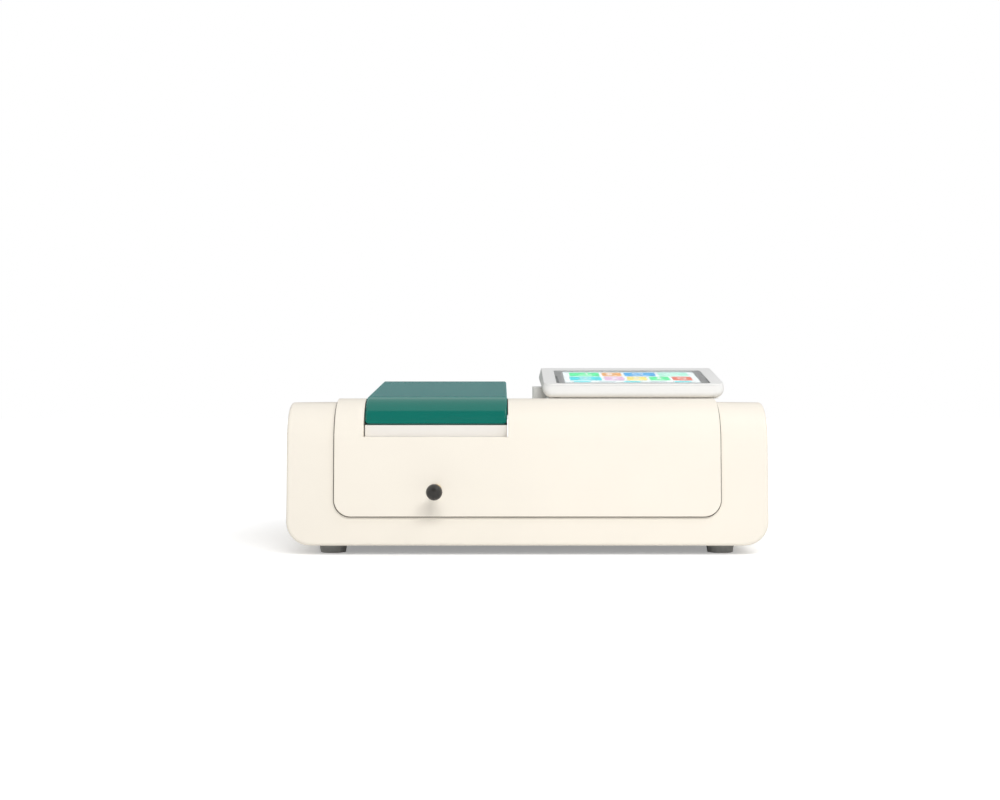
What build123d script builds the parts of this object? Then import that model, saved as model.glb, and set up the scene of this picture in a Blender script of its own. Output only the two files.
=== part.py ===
from build123d import *
from math import asin, atan2, cos, degrees, hypot, radians, sin, tan
import os

# Double-beam uv-vis spectrophotometer. Millimetres, +X to the user's right, +Y to the rear, +Z up.
# Origin: on the desk, under the middle of the outer box. Depths are measured back from the front plane.

os.makedirs("parts", exist_ok=True)

# Body
foot_height = 12.0
end_top = 190.0
front_lean = 3.0
front_radius = 50.0
rear_radius = 10.0
lower_corner_radius = 30.0
edge_radius = 4.0
cover_wall = 4.0
seat_gap = 0.2
slip_gap = 0.3

# Raised centre cover
saddle_side = 60.0
saddle_proud = 5.0
saddle_wall = 3.0
saddle_bottom = 48.5
saddle_corner_radius = 21.0
saddle_edge_radius = 1.2
saddle_rear_margin = 16.0

# Base pan, feet and fasteners
pan_thickness = 2.0
pan_flange_height = 16.0
floor_margin = 44.0
lip_overlap = 10.0
front_lip = 16.0
foot_radius = 18.0
foot_inset_x = 54.0
foot_inset_y = 46.0
screw_radius = 2.0
screw_head_radius = 3.6
screw_head_height = 2.2
screw_length = 12.0
boss_radius = 6.0
rear_recess = 3.0
rear_plate = 2.0

# Sample compartment and lid
lid_side_gap = 97.0
lid_width = 178.0
lid_front_depth = 15.0
lid_front_radius = 40.0
lid_bottom = 163.5
lid_front_centre_z = 157.7
lid_wall = 3.0
lid_side_radius = 3.0
lid_corner_radius = 5.0
hinge_depth = 295.0
hinge_z = 208.0
hinge_roll = 12.0
seal_gap = 2.0
seal_thickness = 1.7
seal_width = 3.6
frame_clearance = 1.2
frame_setback = 1.0
frame_rim = 12.0
frame_rear_rim = 21.0
frame_step_start = 40.0
frame_step_end = 78.0
frame_step_round = 8.0
notch_bottom = 147.0
notch_wall = 3.0
notch_depth = 14.0
hinge_pin_radius = 2.5
pin_clearance = 0.05
hinge_ear_spacing = 120.0
hinge_ear_width = 8.0
knuckle_length = 12.0
knuckle_gap = 0.4
hinge_eye_radius = 6.0
liner_thickness = 2.0
liner_inset = 12.0

# Optical bench and sample tub
mount_height = 14.0
bench_thickness = 10.0
bench_rib = 8.0
tub_wall = 3.0
tub_floor = 4.0
tub_top = 140.0
tub_flange = 6.0
tub_flange_thickness = 3.0
beam_height = 78.0
sample_beam_depth = 112.0
reference_beam_depth = 222.0
window_radius = 9.0
window_thickness = 1.5
beam_radius = 6.0

# Cell changer
cell_size = 12.8
cell_pitch = 18.0
cell_count = 4
cell_below_beam = 15.0
cell_block_width = 24.0
cell_block_height = 36.0
carriage_base_width = 66.0
carriage_base_height = 13.0
guide_rod_radius = 4.0
guide_rod_spacing = 48.0
running_clearance = 0.08
pull_rod_radius = 4.0
pull_rod_z = 81.0
knob_radius = 10.0
knob_standoff = 35.0
bushing_radius = 6.0
bushing_flange_radius = 8.0
bushing_flange = 1.5
bushing_length = 16.0

# Display
display_inset = 160.5
display_width = 233.0
display_length = 128.0
display_front_depth = 75.0
display_tilt = 10.3
display_front_height = 18.0
display_rear_drop = 25.0
display_draft = 14.0
display_wall = 2.5
display_corner_radius = 12.0
display_pivot_inset = 7.0
display_eye_radius = 4.2
bezel_height = 2.0
glass_side_rim = 16.5
glass_length = 104.0
glass_thickness = 1.8
glass_front_shift = 8.0
screen_side_rim = 11.5
screen_length = 90.0
cradle_wing = 12.0
cradle_bar_depth = 26.0
cradle_plate = 2.0

# Optics on the right of the sample compartment
bench_front_depth = 20.0
bench_behind_hinge = 23.0
rear_space = 28.0
bench_tail_reach = 30.0
bench_side_gap = 8.0
splitter_gap = 33.0
lens_radius = 9.0
lens_thickness = 6.0
lens_bulge = 2.0
lens_mount_width = 26.0
lens_mount_thickness = 6.0
exit_slit_gap = 58.0
slit_plate = 2.0
slit_plate_width = 30.0
slit_width = 1.2
slit_height = 14.0
slit_foot = 8.0
monochromator_width = 174.0
entrance_side_gap = 40.0
entrance_depth = 298.0
lamp_section = 132.0
mirror_depth = 58.0
collimator_side_gap = 35.0
focus_reach = 52.0
mirror_width = 44.0
mirror_height = 40.0
mirror_thickness = 7.0
mirror_hollow = 1.0
flat_mirror_width = 26.0
flat_mirror_height = 28.0
flat_mirror_thickness = 4.0
mirror_back = 6.0
exit_mirror_reach = 32.0
grating_reach = 94.0
grating_setback = 62.0
grating_size = 30.0
grating_thickness = 6.0
motor_size = 42.0
motor_height = 19.0
motor_shaft_radius = 2.5
motor_corner = 3.5
table_radius = 17.0
table_gap = 1.0
table_thickness = 3.0
lamp_rear_gap = 34.0
source_mirror_size = 24.0
source_mirror_angle = 45.0
small_motor_size = 28.0
wheel_radius = 30.0
wheel_thickness = 3.0
wheel_pitch_radius = 22.0
wheel_filter_radius = 5.5
wheel_filters = 6
wheel_gap = 2.0
lamp_spacing = 60.0
lamp_radius = 10.5
lamp_height = 52.0
bulb_radius = 6.0
bulb_height = 39.0
bulb_roundness = 0.9
arc_tube_radius = 9.0
house_wall = 1.5
house_height = 100.0
house_depth = 60.0
wall_thickness = 4.0
wall_height = 62.0
detector_edge_gap = 24.0
detector_board_size = 52.0
detector_board_thickness = 1.6
bracket_plate = 3.0
diode_radius = 6.0
diode_length = 7.0

# Electronics and rear panel
fan_size = 60.0
fan_thickness = 20.0
fan_shift = 15.0
fan_z = 100.0
fan_bore_radius = 28.0
fan_blade_radius = 26.5
fan_hub_radius = 12.0
fan_blades = 7
inlet_side_gap = 85.0
inlet_z = 66.0
inlet_flange_width = 30.0
inlet_flange_height = 58.0
inlet_flange = 2.5
inlet_body_width = 27.0
inlet_body_height = 48.0
inlet_body_depth = 26.0
socket_width = 24.0
socket_height = 16.0
socket_depth = 16.0
socket_drop = 11.0
rocker_rise = 13.5
rocker_width = 19.0
rocker_height = 14.0
rocker_swing_gap = 1.8
rocker_pivot_depth = 2.0
rocker_depth = 5.0
rocker_pin_radius = 1.2
rocker_pin_reach = 2.0
rocker_throw = 22.0
supply_side_gap = 31.0
supply_width = 120.0
supply_front_gap = 8.0
supply_rear_gap = 10.0
supply_height = 46.0
transformer_width = 30.0
transformer_height = 23.0
capacitor_radius = 8.0
capacitor_height = 23.0
board_gap = 20.0
board_width = 150.0
standoff_height = 8.0
standoff_radius = 2.5
standoff_inset = 5.0
board_thickness = 1.6
chip_width = 16.0
chip_height = 2.0
port_height = 13.0

# Overall width: the pieces that stand side by side, from the left side of the body to the right
right_margin = floor_margin + 2 * bench_side_gap
body_width = lid_side_gap + lid_width + splitter_gap + exit_slit_gap + monochromator_width + right_margin
half_width = body_width / 2
floor_half = half_width - floor_margin
bench_half = floor_half - bench_side_gap
saddle_half = half_width - saddle_side
lid_x = lid_side_gap + lid_width / 2 - half_width
lens_x = lid_x + lid_width / 2
splitter_x = lens_x + splitter_gap
slit_x = splitter_x + exit_slit_gap
exit_mirror_x = slit_x + exit_mirror_reach
focus_x = slit_x + focus_reach
grating_x = slit_x + grating_reach
bench_tail_x = slit_x + bench_tail_reach
mono_right = slit_x + monochromator_width
entrance_x = mono_right - entrance_side_gap
collimator_x = mono_right - collimator_side_gap
fan_x = entrance_x - fan_shift
detector_x = detector_edge_gap - bench_half
display_x = half_width - display_inset
glass_width = display_width - 2 * glass_side_rim
screen_width = glass_width - 2 * screen_side_rim
cradle_bar_width = display_width + 2 * cradle_wing
inlet_x = inlet_side_gap - half_width
supply_x = supply_side_gap - floor_half + supply_width / 2
board_x = supply_x + (supply_width + board_width) / 2 + board_gap

# Overall depth: the monochromator's length and the lamps behind it
body_depth = entrance_depth + lamp_section
grating_depth = entrance_depth - grating_setback
bench_rear_depth = body_depth - rear_space
house_front_depth = bench_rear_depth - house_depth
source_depth = bench_rear_depth - lamp_rear_gap
bench_main_depth = hinge_depth + bench_behind_hinge
supply_front_depth = bench_main_depth + supply_front_gap
supply_depth = bench_rear_depth - supply_rear_gap - supply_front_depth

lean_slope = tan(radians(front_lean))
saddle_face = saddle_proud / cos(radians(front_lean)) - (pull_rod_z - foot_height) * lean_slope
knob_reach = knob_standoff + knob_radius + saddle_face
rocker_half = rocker_height / 2 - rocker_swing_gap
rocker_peak = rocker_half * tan(radians(rocker_throw))
rear_reach = inlet_flange - rear_recess + rocker_peak
front_y = (knob_reach - body_depth - rear_reach) / 2
rear_y = front_y + body_depth
arc_z = end_top - front_radius
arc_y = front_y + (arc_z - foot_height) * lean_slope + front_radius / cos(radians(front_lean))
saddle_top = end_top + saddle_proud


def back(depth):
    """Y of a place so many millimetres behind the front plane."""
    return front_y + depth


def front_at(z, grow=0.0):
    """Y of the leaning front at height z, grown outwards."""
    return front_y + (z - foot_height) * lean_slope - grow / cos(radians(front_lean))


def save(piece, name):
    """Label a finished piece and write it as its own node."""
    piece.part.label = name
    export_step(piece.part, f"parts/{name}.step")


def side_outline(grow, bottom, rear, rear_round):
    """Side view of the body: leaning front, large front arc, flat top and rounded rear edge."""
    lean = radians(front_lean)
    radius = front_radius + grow
    top = end_top + grow
    with BuildLine() as outline:
        Line((front_at(bottom, grow), bottom), (arc_y - radius * cos(lean), arc_z + radius * sin(lean)))
        CenterArc((arc_y, arc_z), radius, 90, 90 - front_lean)
        Line((arc_y, top), (rear - rear_round, top))
        if rear_round > 0:
            CenterArc((rear - rear_round, top - rear_round), rear_round, 0, 90)
        Polyline((rear, top - rear_round), (rear, bottom), (front_at(bottom, grow), bottom))
    make_face(outline.edges())


def front_outline(inset, top):
    """Front view of the body: straight sides and rounded lower corners."""
    radius = lower_corner_radius - inset
    side = half_width - inset
    bottom = foot_height + inset
    with BuildLine() as outline:
        Line((side, top), (side, bottom + radius))
        CenterArc((side - radius, bottom + radius), radius, 0, -90)
        Line((side - radius, bottom), (radius - side, bottom))
        CenterArc((radius - side, bottom + radius), radius, 270, -90)
        Polyline((-side, bottom + radius), (-side, top), (side, top))
    make_face(outline.edges())


# Space that the main cover encloses
with BuildPart() as cover_core:
    with BuildSketch(Plane.YZ):
        side_outline(-cover_wall, foot_height, rear_y + cover_wall, 0)
    extrude(amount=half_width - cover_wall, both=True)
    with BuildSketch(Plane.XZ):
        front_outline(cover_wall, end_top + body_depth)
    extrude(amount=body_depth, both=True, mode=Mode.INTERSECT)

# Cut-out round the sample compartment, open to the front above the notch floor
frame_half = lid_width / 2
hinge_rear_depth = hinge_depth + hinge_roll
cut_half = frame_half + frame_clearance


def compartment_cut(margin):
    """Block that clears the compartment frame through a cover, with a margin all round."""
    front = back(lid_front_depth + frame_setback - frame_clearance - margin)
    rear = back(hinge_rear_depth + frame_clearance + margin)
    with Locations((lid_x, front, foot_height + floor_margin)):
        Box(2 * (cut_half + margin), rear - front, end_top, align=(Align.CENTER, Align.MIN, Align.MIN),
            mode=Mode.SUBTRACT)
    with Locations((lid_x, front, notch_bottom - margin)):
        Box(2 * (cut_half + margin), end_top, end_top, align=(Align.CENTER, Align.MAX, Align.MIN),
            mode=Mode.SUBTRACT)


pan_half = floor_half + lip_overlap
pan_front = front_y + front_lip - lip_overlap
pan_rear = rear_y - rear_recess
cover_floor = foot_height + cover_wall
boss_height = 14.0
cover_screw_depths = (100.0, 215.0, 330.0)
cover_screw_x = floor_half + boss_radius + slip_gap
cover_screw_places = [(sx * cover_screw_x, back(d)) for sx in (-1, 1) for d in cover_screw_depths]
panel_half = half_width - cover_wall
rear_screw_inset = 5.0
rear_screw_heights = (foot_height + 48.0, end_top - 50.0)
rear_screw_spread = 150.0
rear_screw_x = panel_half - rear_screw_inset
rear_screw_places = [(side * rear_screw_x, z) for side in (-1, 1) for z in rear_screw_heights]
rear_screw_places += [(side * rear_screw_spread, end_top - cover_wall - rear_screw_inset) for side in (-1, 1)]
rear_boss_length = 14.0
panel_front = rear_y - rear_recess - rear_plate
rod_y = front_at(pull_rod_z, saddle_proud)

# Main cover: one moulded shell, open below for the pan and open behind for the rear panel
with BuildPart() as main_cover:
    with BuildSketch(Plane.YZ):
        side_outline(0, foot_height, rear_y, rear_radius)
    extrude(amount=half_width, both=True)
    with BuildSketch(Plane.XZ):
        front_outline(0, end_top + body_depth)
    extrude(amount=body_depth, both=True, mode=Mode.INTERSECT)
    front_loop = main_cover.edges().filter_by(lambda e: abs(abs(e.center().X) - half_width) < 0.1)
    fillet(front_loop.filter_by(lambda e: e.center().Z > lower_corner_radius + foot_height
                                and e.center().Y < rear_y - 1), edge_radius)
    add(cover_core.part, mode=Mode.SUBTRACT)
    with Locations((0, front_y + front_lip, foot_height)):
        Box(2 * floor_half, body_depth, 2 * cover_wall, align=(Align.CENTER, Align.MIN, Align.CENTER),
            mode=Mode.SUBTRACT)
    with Locations((0, pan_front, foot_height)):
        Box(2 * pan_half, body_depth, 2 * pan_thickness, align=(Align.CENTER, Align.MIN, Align.CENTER),
            mode=Mode.SUBTRACT)
    with Locations(*[(x, y, cover_floor) for x, y in cover_screw_places]):
        Cylinder(boss_radius, boss_height, align=(Align.CENTER, Align.CENTER, Align.MIN))
    with Locations(*[(x, y, foot_height) for x, y in cover_screw_places]):
        Cylinder(screw_radius + running_clearance, 2 * (screw_length + 1), mode=Mode.SUBTRACT)
    with BuildSketch(Plane.XZ.offset(-(panel_front))):
        with Locations(*rear_screw_places):
            Circle(boss_radius)
    extrude(amount=rear_boss_length)
    with BuildSketch(Plane.XZ.offset(-(panel_front))):
        with Locations(*rear_screw_places):
            Circle(screw_radius + running_clearance)
    extrude(amount=screw_length, mode=Mode.SUBTRACT)
    compartment_cut(notch_wall + slip_gap)
    with BuildSketch(Plane.XZ.offset(-(front_y + 2 * cover_wall))):
        with Locations((lid_x, pull_rod_z)):
            Circle(bushing_radius + seat_gap)
    extrude(amount=3 * cover_wall, mode=Mode.SUBTRACT)
save(main_cover, "main_cover")

# Centre cover: raised saddle over the front and top, with a lining round the compartment cut-out
saddle_rear = rear_y - saddle_rear_margin


def saddle_block(grow, inset):
    """Solid under a surface parallel to the body, with the saddle's outline inset all round."""
    with BuildPart() as block:
        with BuildSketch(Plane.YZ):
            side_outline(grow, saddle_bottom + inset, saddle_rear - inset, 0)
        extrude(amount=saddle_half - inset, both=True)
        with BuildSketch(Plane.XZ.offset(-front_y + body_depth)):
            with Locations((0, saddle_bottom + inset + body_depth / 2)):
                RectangleRounded(2 * (saddle_half - inset), body_depth, saddle_corner_radius - inset)
        extrude(amount=-2 * body_depth, mode=Mode.INTERSECT)
    return block.part


with BuildPart() as body_surface:
    with BuildSketch(Plane.YZ):
        side_outline(seat_gap, 0, rear_y + body_depth, 0)
    extrude(amount=body_width, both=True)

with BuildPart() as notch_lining:
    with BuildSketch(Plane.YZ):
        side_outline(saddle_proud, 0, back(hinge_rear_depth + frame_clearance + notch_wall), 0)
    extrude(amount=cut_half + notch_wall, both=True)
    with Locations((0, 0, notch_bottom - notch_wall)):
        Box(body_width, 2 * body_depth, body_depth, align=(Align.CENTER, Align.CENTER, Align.MIN),
            mode=Mode.INTERSECT)
    with BuildSketch(Plane.YZ):
        side_outline(saddle_proud - notch_depth, 0, rear_y, 0)
    extrude(amount=body_width, both=True, mode=Mode.SUBTRACT)

with BuildPart() as centre_cover:
    add(saddle_block(saddle_proud, 0))
    rim = [e for f in (centre_cover.faces().sort_by(Axis.Y)[0], centre_cover.faces().sort_by(Axis.Z)[-1])
           for e in f.edges() if e.center().Y < front_at(saddle_bottom + 1, 0)
           or e.center().Y > saddle_rear - 1 or abs(e.center().X) > saddle_half - 1]
    arc_rim = centre_cover.edges().filter_by(GeomType.CIRCLE).filter_by(
        lambda e: abs(e.center().X) > saddle_half - 1)
    fillet(rim + list(arc_rim), saddle_edge_radius)
    add(body_surface.part, mode=Mode.SUBTRACT)
    add(saddle_block(saddle_proud - saddle_wall, saddle_wall), mode=Mode.SUBTRACT)
    add(notch_lining.part.moved(Location((lid_x, 0, 0))))
    compartment_cut(0)
    with BuildSketch(Plane.XZ.offset(-(front_y + 2 * cover_wall))):
        with Locations((lid_x, pull_rod_z)):
            Circle(bushing_radius + seat_gap)
    extrude(amount=4 * cover_wall, mode=Mode.SUBTRACT)
save(centre_cover, "centre_cover")

# Compartment frame and lid share one parting line, which steps down at the front
lid_edge_top = hinge_z - hinge_roll


def above_parting(drop):
    """Side view of everything above the parting line, lowered by the given drop."""
    low = lid_bottom - drop
    high = lid_edge_top - drop
    points = [(front_y - body_depth, low), (back(frame_step_start), low), (back(frame_step_end), high),
              (rear_y + body_depth, high)]
    with BuildLine() as line:
        FilletPolyline(*points, radius=frame_step_round)
        Polyline(points[-1], (points[-1][0], body_depth), (points[0][0], body_depth), points[0])
    make_face(line.edges())


frame_front = back(lid_front_depth + frame_setback)
frame_rear = back(hinge_rear_depth)
mouth_front = frame_front + frame_rim
mouth_rear = frame_rear - frame_rear_rim
mouth_half = frame_half - frame_rim
ear_places = [lid_x - hinge_ear_spacing / 2, lid_x + hinge_ear_spacing / 2]
hinge_y = back(hinge_depth)
hinge_bore = hinge_pin_radius + pin_clearance

with BuildPart() as compartment_frame:
    with Locations((lid_x, frame_front, tub_top)):
        Box(lid_width, frame_rear - frame_front, lid_edge_top - tub_top,
            align=(Align.CENTER, Align.MIN, Align.MIN))
    with BuildSketch(Plane.YZ):
        above_parting(seal_gap)
    extrude(amount=body_width, both=True, mode=Mode.SUBTRACT)
    with Locations((lid_x, mouth_front, 0)):
        Box(2 * mouth_half, mouth_rear - mouth_front, body_depth, align=(Align.CENTER, Align.MIN, Align.MIN),
            mode=Mode.SUBTRACT)
    for ear_x in ear_places:
        with BuildSketch(Plane.YZ.offset(ear_x)):
            with Locations((hinge_y, hinge_z)):
                Circle(hinge_eye_radius)
            with Locations((hinge_y, tub_top)):
                Rectangle(2 * hinge_eye_radius, hinge_z - tub_top, align=(Align.CENTER, Align.MIN))
            with Locations((hinge_y, hinge_z)):
                Circle(hinge_bore, mode=Mode.SUBTRACT)
        extrude(amount=hinge_ear_width / 2, both=True)
save(compartment_frame, "compartment_frame")

with BuildPart() as lid_seal:
    with Locations((lid_x, frame_front, lid_bottom - seal_gap)):
        Box(lid_width, hinge_y - frame_front, body_depth, align=(Align.CENTER, Align.MIN, Align.MIN))
    with Locations((lid_x, frame_front + seal_width, 0)):
        Box(lid_width - 2 * seal_width, body_depth, body_depth, align=(Align.CENTER, Align.MIN, Align.MIN),
            mode=Mode.SUBTRACT)
    with BuildSketch(Plane.YZ):
        above_parting(seal_gap)
    extrude(amount=body_width, both=True, mode=Mode.INTERSECT)
    with BuildSketch(Plane.YZ):
        above_parting(seal_gap - seal_thickness)
    extrude(amount=body_width, both=True, mode=Mode.SUBTRACT)
save(lid_seal, "lid_seal")


def lid_outline(inset):
    """Side view of the lid: front arc, sloping top and a rear edge rolled round the hinge axis."""
    front_r = lid_front_radius - inset
    rear_r = hinge_roll - inset
    front_c = (back(lid_front_depth) + lid_front_radius, lid_front_centre_z)
    rear_c = (hinge_y, hinge_z)
    run = rear_c[0] - front_c[0]
    rise = rear_c[1] - front_c[1]
    slope = atan2(rise, run) - asin((front_r - rear_r) / hypot(run, rise))
    turn = 90 + degrees(slope)
    low = lid_bottom - front_r
    with BuildLine() as line:
        CenterArc(front_c, front_r, turn, 180 - turn)
        Line((front_c[0] - front_r * sin(slope), front_c[1] + front_r * cos(slope)),
             (rear_c[0] - rear_r * sin(slope), rear_c[1] + rear_r * cos(slope)))
        CenterArc(rear_c, rear_r, -90, turn + 90)
        Polyline((front_c[0] - front_r, front_c[1]), (front_c[0] - front_r, low),
                 (rear_c[0], low), (rear_c[0], rear_c[1] - rear_r))
    make_face(line.edges())


lid_top_slope = degrees(atan2(hinge_z - lid_front_centre_z, hinge_depth - lid_front_depth - lid_front_radius)
                        - asin((lid_front_radius - hinge_roll)
                               / hypot(hinge_depth - lid_front_depth - lid_front_radius,
                                       hinge_z - lid_front_centre_z)))
knuckle_offset = hinge_ear_width / 2 + knuckle_gap
with BuildPart() as lid:
    with BuildSketch(Plane.YZ.offset(lid_x)):
        lid_outline(0)
    extrude(amount=frame_half, both=True)
    side_rim = lid.edges().filter_by(lambda e: abs(abs(e.center().X - lid_x) - frame_half) < 0.1
                                     and e.center().Z > lid_front_centre_z)
    fillet([e for e in side_rim if not (e.geom_type == GeomType.LINE and abs(e.tangent_at(0).Z) > 0.9)],
           lid_side_radius)
    with BuildSketch(Plane.YZ.offset(lid_x)):
        lid_outline(lid_wall)
    extrude(amount=frame_half - lid_wall, both=True, mode=Mode.SUBTRACT)
    with BuildSketch(Plane.YZ):
        above_parting(0)
    extrude(amount=body_width, both=True, mode=Mode.INTERSECT)
    with BuildSketch(Plane.XZ.offset(-front_y)):
        with Locations((lid_x, lid_bottom + body_depth / 2)):
            RectangleRounded(lid_width, body_depth, lid_corner_radius)
    extrude(amount=-body_depth, mode=Mode.INTERSECT)
    for ear_x in ear_places:
        for side in (-1, 1):
            with BuildSketch(Plane.YZ.offset(ear_x + side * knuckle_offset)):
                with Locations((hinge_y, hinge_z)):
                    Circle(hinge_eye_radius)
                    Rectangle(2 * hinge_eye_radius, hinge_roll - lid_wall / 2, align=(Align.CENTER, Align.MIN))
            extrude(amount=side * knuckle_length)
        with Locations((ear_x, hinge_y, hinge_z + hinge_eye_radius)):
            Box(hinge_ear_width + 2 * knuckle_gap, 3 * hinge_roll, 4 * hinge_roll,
                align=(Align.CENTER, Align.MIN, Align.MAX), mode=Mode.SUBTRACT)
    with BuildSketch(Plane.YZ.offset(lid_x)):
        with Locations((hinge_y, hinge_z)):
            Circle(hinge_bore)
    extrude(amount=mouth_half, both=True, mode=Mode.SUBTRACT)
save(lid, "lid")

# Lid liner under the top of the lid
liner_length = hinge_depth - hinge_roll - lid_front_depth - lid_front_radius - liner_inset
slope_rad = radians(lid_top_slope)
liner_plane = Plane(
    origin=(lid_x,
            back(lid_front_depth) + lid_front_radius - (lid_front_radius - lid_wall) * sin(slope_rad),
            lid_front_centre_z + (lid_front_radius - lid_wall) * cos(slope_rad)),
    x_dir=(1, 0, 0), z_dir=(0, -sin(slope_rad), cos(slope_rad)))
with BuildPart() as lid_liner:
    with BuildSketch(liner_plane):
        with Locations((0, liner_inset / 2)):
            RectangleRounded(lid_width - 2 * lid_wall - 2 * liner_inset, liner_length, lid_corner_radius,
                             align=(Align.CENTER, Align.MIN))
    extrude(amount=-liner_thickness)
save(lid_liner, "lid_liner")

# Optical bench: cast plate on rubber mounts, with a tail for the lamps and ribs below
bench_bottom = foot_height + pan_thickness + mount_height
bench_top = bench_bottom + bench_thickness
mount_inset = 20.0
mount_radius = 11.0
mount_places = [(sx * (bench_half - mount_inset), back(bench_front_depth + mount_inset)) for sx in (-1, 1)]
mount_places += [(mount_inset - bench_half, back(bench_main_depth - mount_inset)),
                 (bench_half - mount_inset, back(bench_rear_depth - mount_inset))]
with BuildPart() as optical_bench:
    with BuildSketch(Plane.XY.offset(bench_bottom)):
        with Locations((0, back(bench_front_depth))):
            Rectangle(2 * bench_half, bench_main_depth - bench_front_depth, align=(Align.CENTER, Align.MIN))
        with Locations((bench_tail_x, back(bench_main_depth))):
            Rectangle(bench_half - bench_tail_x, bench_rear_depth - bench_main_depth,
                      align=(Align.MIN, Align.MIN))
    extrude(amount=bench_thickness)
    with BuildSketch(Plane.XY.offset(bench_bottom)):
        with GridLocations(bench_half / 2, 1, 3, 1):
            with Locations((0, back((bench_front_depth + bench_main_depth) / 2))):
                Rectangle(wall_thickness, bench_main_depth - bench_front_depth - 2 * mount_inset)
        with Locations((0, back(bench_front_depth + 2 * mount_inset)),
                       (0, back(bench_main_depth - 2 * mount_inset))):
            Rectangle(2 * bench_half - 4 * mount_inset, wall_thickness)
    extrude(amount=-bench_rib)
    fillet(optical_bench.edges().filter_by(Axis.Z).filter_by(
        lambda e: abs(e.center().X) > bench_half - 1), bench_side_gap)
save(optical_bench, "optical_bench")

with BuildPart() as damping_mounts:
    with BuildSketch(Plane.XY.offset(foot_height + pan_thickness)):
        with Locations(*mount_places):
            Circle(mount_radius)
    extrude(amount=mount_height)
    mount_rims = damping_mounts.edges().filter_by(GeomType.CIRCLE)
    chamfer(mount_rims, 1)
save(damping_mounts, "damping_mounts")

# Sample tub: open black box under the frame, with beam holes through both sides
tub_half = mouth_half + tub_wall
tub_front = mouth_front - tub_wall
tub_rear = mouth_rear + tub_wall
tub_base = bench_top
tub_inside = tub_base + tub_floor
beam_depths = (sample_beam_depth, reference_beam_depth)
beam_places = [(back(d), beam_height) for d in beam_depths]
with BuildPart() as sample_tub:
    with Locations((lid_x, tub_front, tub_base)):
        Box(2 * tub_half, tub_rear - tub_front, tub_top - tub_base, align=(Align.CENTER, Align.MIN, Align.MIN))
    with Locations((lid_x, tub_front - tub_flange, tub_top - tub_flange_thickness)):
        Box(2 * (tub_half + tub_flange), tub_rear - tub_front + 2 * tub_flange, tub_flange_thickness,
            align=(Align.CENTER, Align.MIN, Align.MIN))
    with Locations((lid_x, mouth_front, tub_inside)):
        Box(2 * mouth_half, mouth_rear - mouth_front, tub_top, align=(Align.CENTER, Align.MIN, Align.MIN),
            mode=Mode.SUBTRACT)
    with BuildSketch(Plane.YZ.offset(lid_x)):
        with Locations(*beam_places):
            Circle(beam_radius)
    extrude(amount=2 * tub_half, both=True, mode=Mode.SUBTRACT)
    for side in (-1, 1):
        with BuildSketch(Plane.YZ.offset(lid_x + side * tub_half)):
            with Locations(*beam_places):
                Circle(window_radius + seat_gap)
        extrude(amount=-side * window_thickness, mode=Mode.SUBTRACT)
    with BuildSketch(Plane.XZ.offset(-tub_front)):
        with Locations((lid_x, pull_rod_z)):
            Circle(pull_rod_radius + 1)
    extrude(amount=-tub_wall, mode=Mode.SUBTRACT)
save(sample_tub, "sample_tub")

with BuildPart() as beam_windows:
    for side in (-1, 1):
        with BuildSketch(Plane.YZ.offset(lid_x + side * tub_half)):
            with Locations(*beam_places):
                Circle(window_radius)
        extrude(amount=-side * window_thickness)
save(beam_windows, "beam_windows")

# Four-place cell changer: carriage on two guide rods, pulled forwards by the rod and ball knob
cell_floor = beam_height - cell_below_beam
carriage_base = cell_floor - carriage_base_height
guide_z = carriage_base + carriage_base_height / 2
block_margin = 12.0
carriage_front = back(sample_beam_depth) - block_margin
carriage_length = (cell_count - 1) * cell_pitch + 2 * block_margin
carriage_travel = (cell_count - 1) * cell_pitch
cell_places = [back(sample_beam_depth) + i * cell_pitch for i in range(cell_count)]
aperture_width = 7.0
aperture_height = 18.0


def cell_block(y_front, length, bottom, pockets):
    """Upright block with a square pocket for each cell and a beam aperture through each."""
    with Locations((lid_x, y_front, bottom)):
        Box(cell_block_width, length, cell_floor + cell_block_height - bottom,
            align=(Align.CENTER, Align.MIN, Align.MIN))
    with Locations(*[(lid_x, y, cell_floor) for y in pockets]):
        Box(cell_size, cell_size, 2 * cell_block_height, align=(Align.CENTER, Align.CENTER, Align.MIN),
            mode=Mode.SUBTRACT)
    with Locations(*[(lid_x, y, beam_height) for y in pockets]):
        Box(2 * cell_block_width, aperture_width, aperture_height, mode=Mode.SUBTRACT)


with BuildPart() as cell_carriage:
    with Locations((lid_x, carriage_front, carriage_base)):
        Box(carriage_base_width, carriage_length, carriage_base_height,
            align=(Align.CENTER, Align.MIN, Align.MIN))
    cell_block(carriage_front, carriage_length, cell_floor - 1, cell_places)
    with BuildSketch(Plane.XZ.offset(-carriage_front)):
        with Locations((lid_x - guide_rod_spacing / 2, guide_z), (lid_x + guide_rod_spacing / 2, guide_z)):
            Circle(guide_rod_radius + running_clearance)
    extrude(amount=-carriage_length, mode=Mode.SUBTRACT)
save(cell_carriage, "cell_carriage")

bracket_thickness = 6.0
travel_margin = 4.0
guide_front = carriage_front - carriage_travel - travel_margin - bracket_thickness
guide_rear = carriage_front + carriage_length + travel_margin
with BuildPart() as guide_brackets:
    for y in (guide_front, guide_rear):
        with BuildSketch(Plane.XZ.offset(-y)):
            with Locations((lid_x, tub_inside)):
                Rectangle(carriage_base_width, guide_z + guide_rod_radius * 2 - tub_inside,
                          align=(Align.CENTER, Align.MIN))
            with Locations((lid_x - guide_rod_spacing / 2, guide_z), (lid_x + guide_rod_spacing / 2, guide_z)):
                Circle(guide_rod_radius + pin_clearance, mode=Mode.SUBTRACT)
        extrude(amount=-bracket_thickness)
save(guide_brackets, "guide_brackets")

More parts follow.
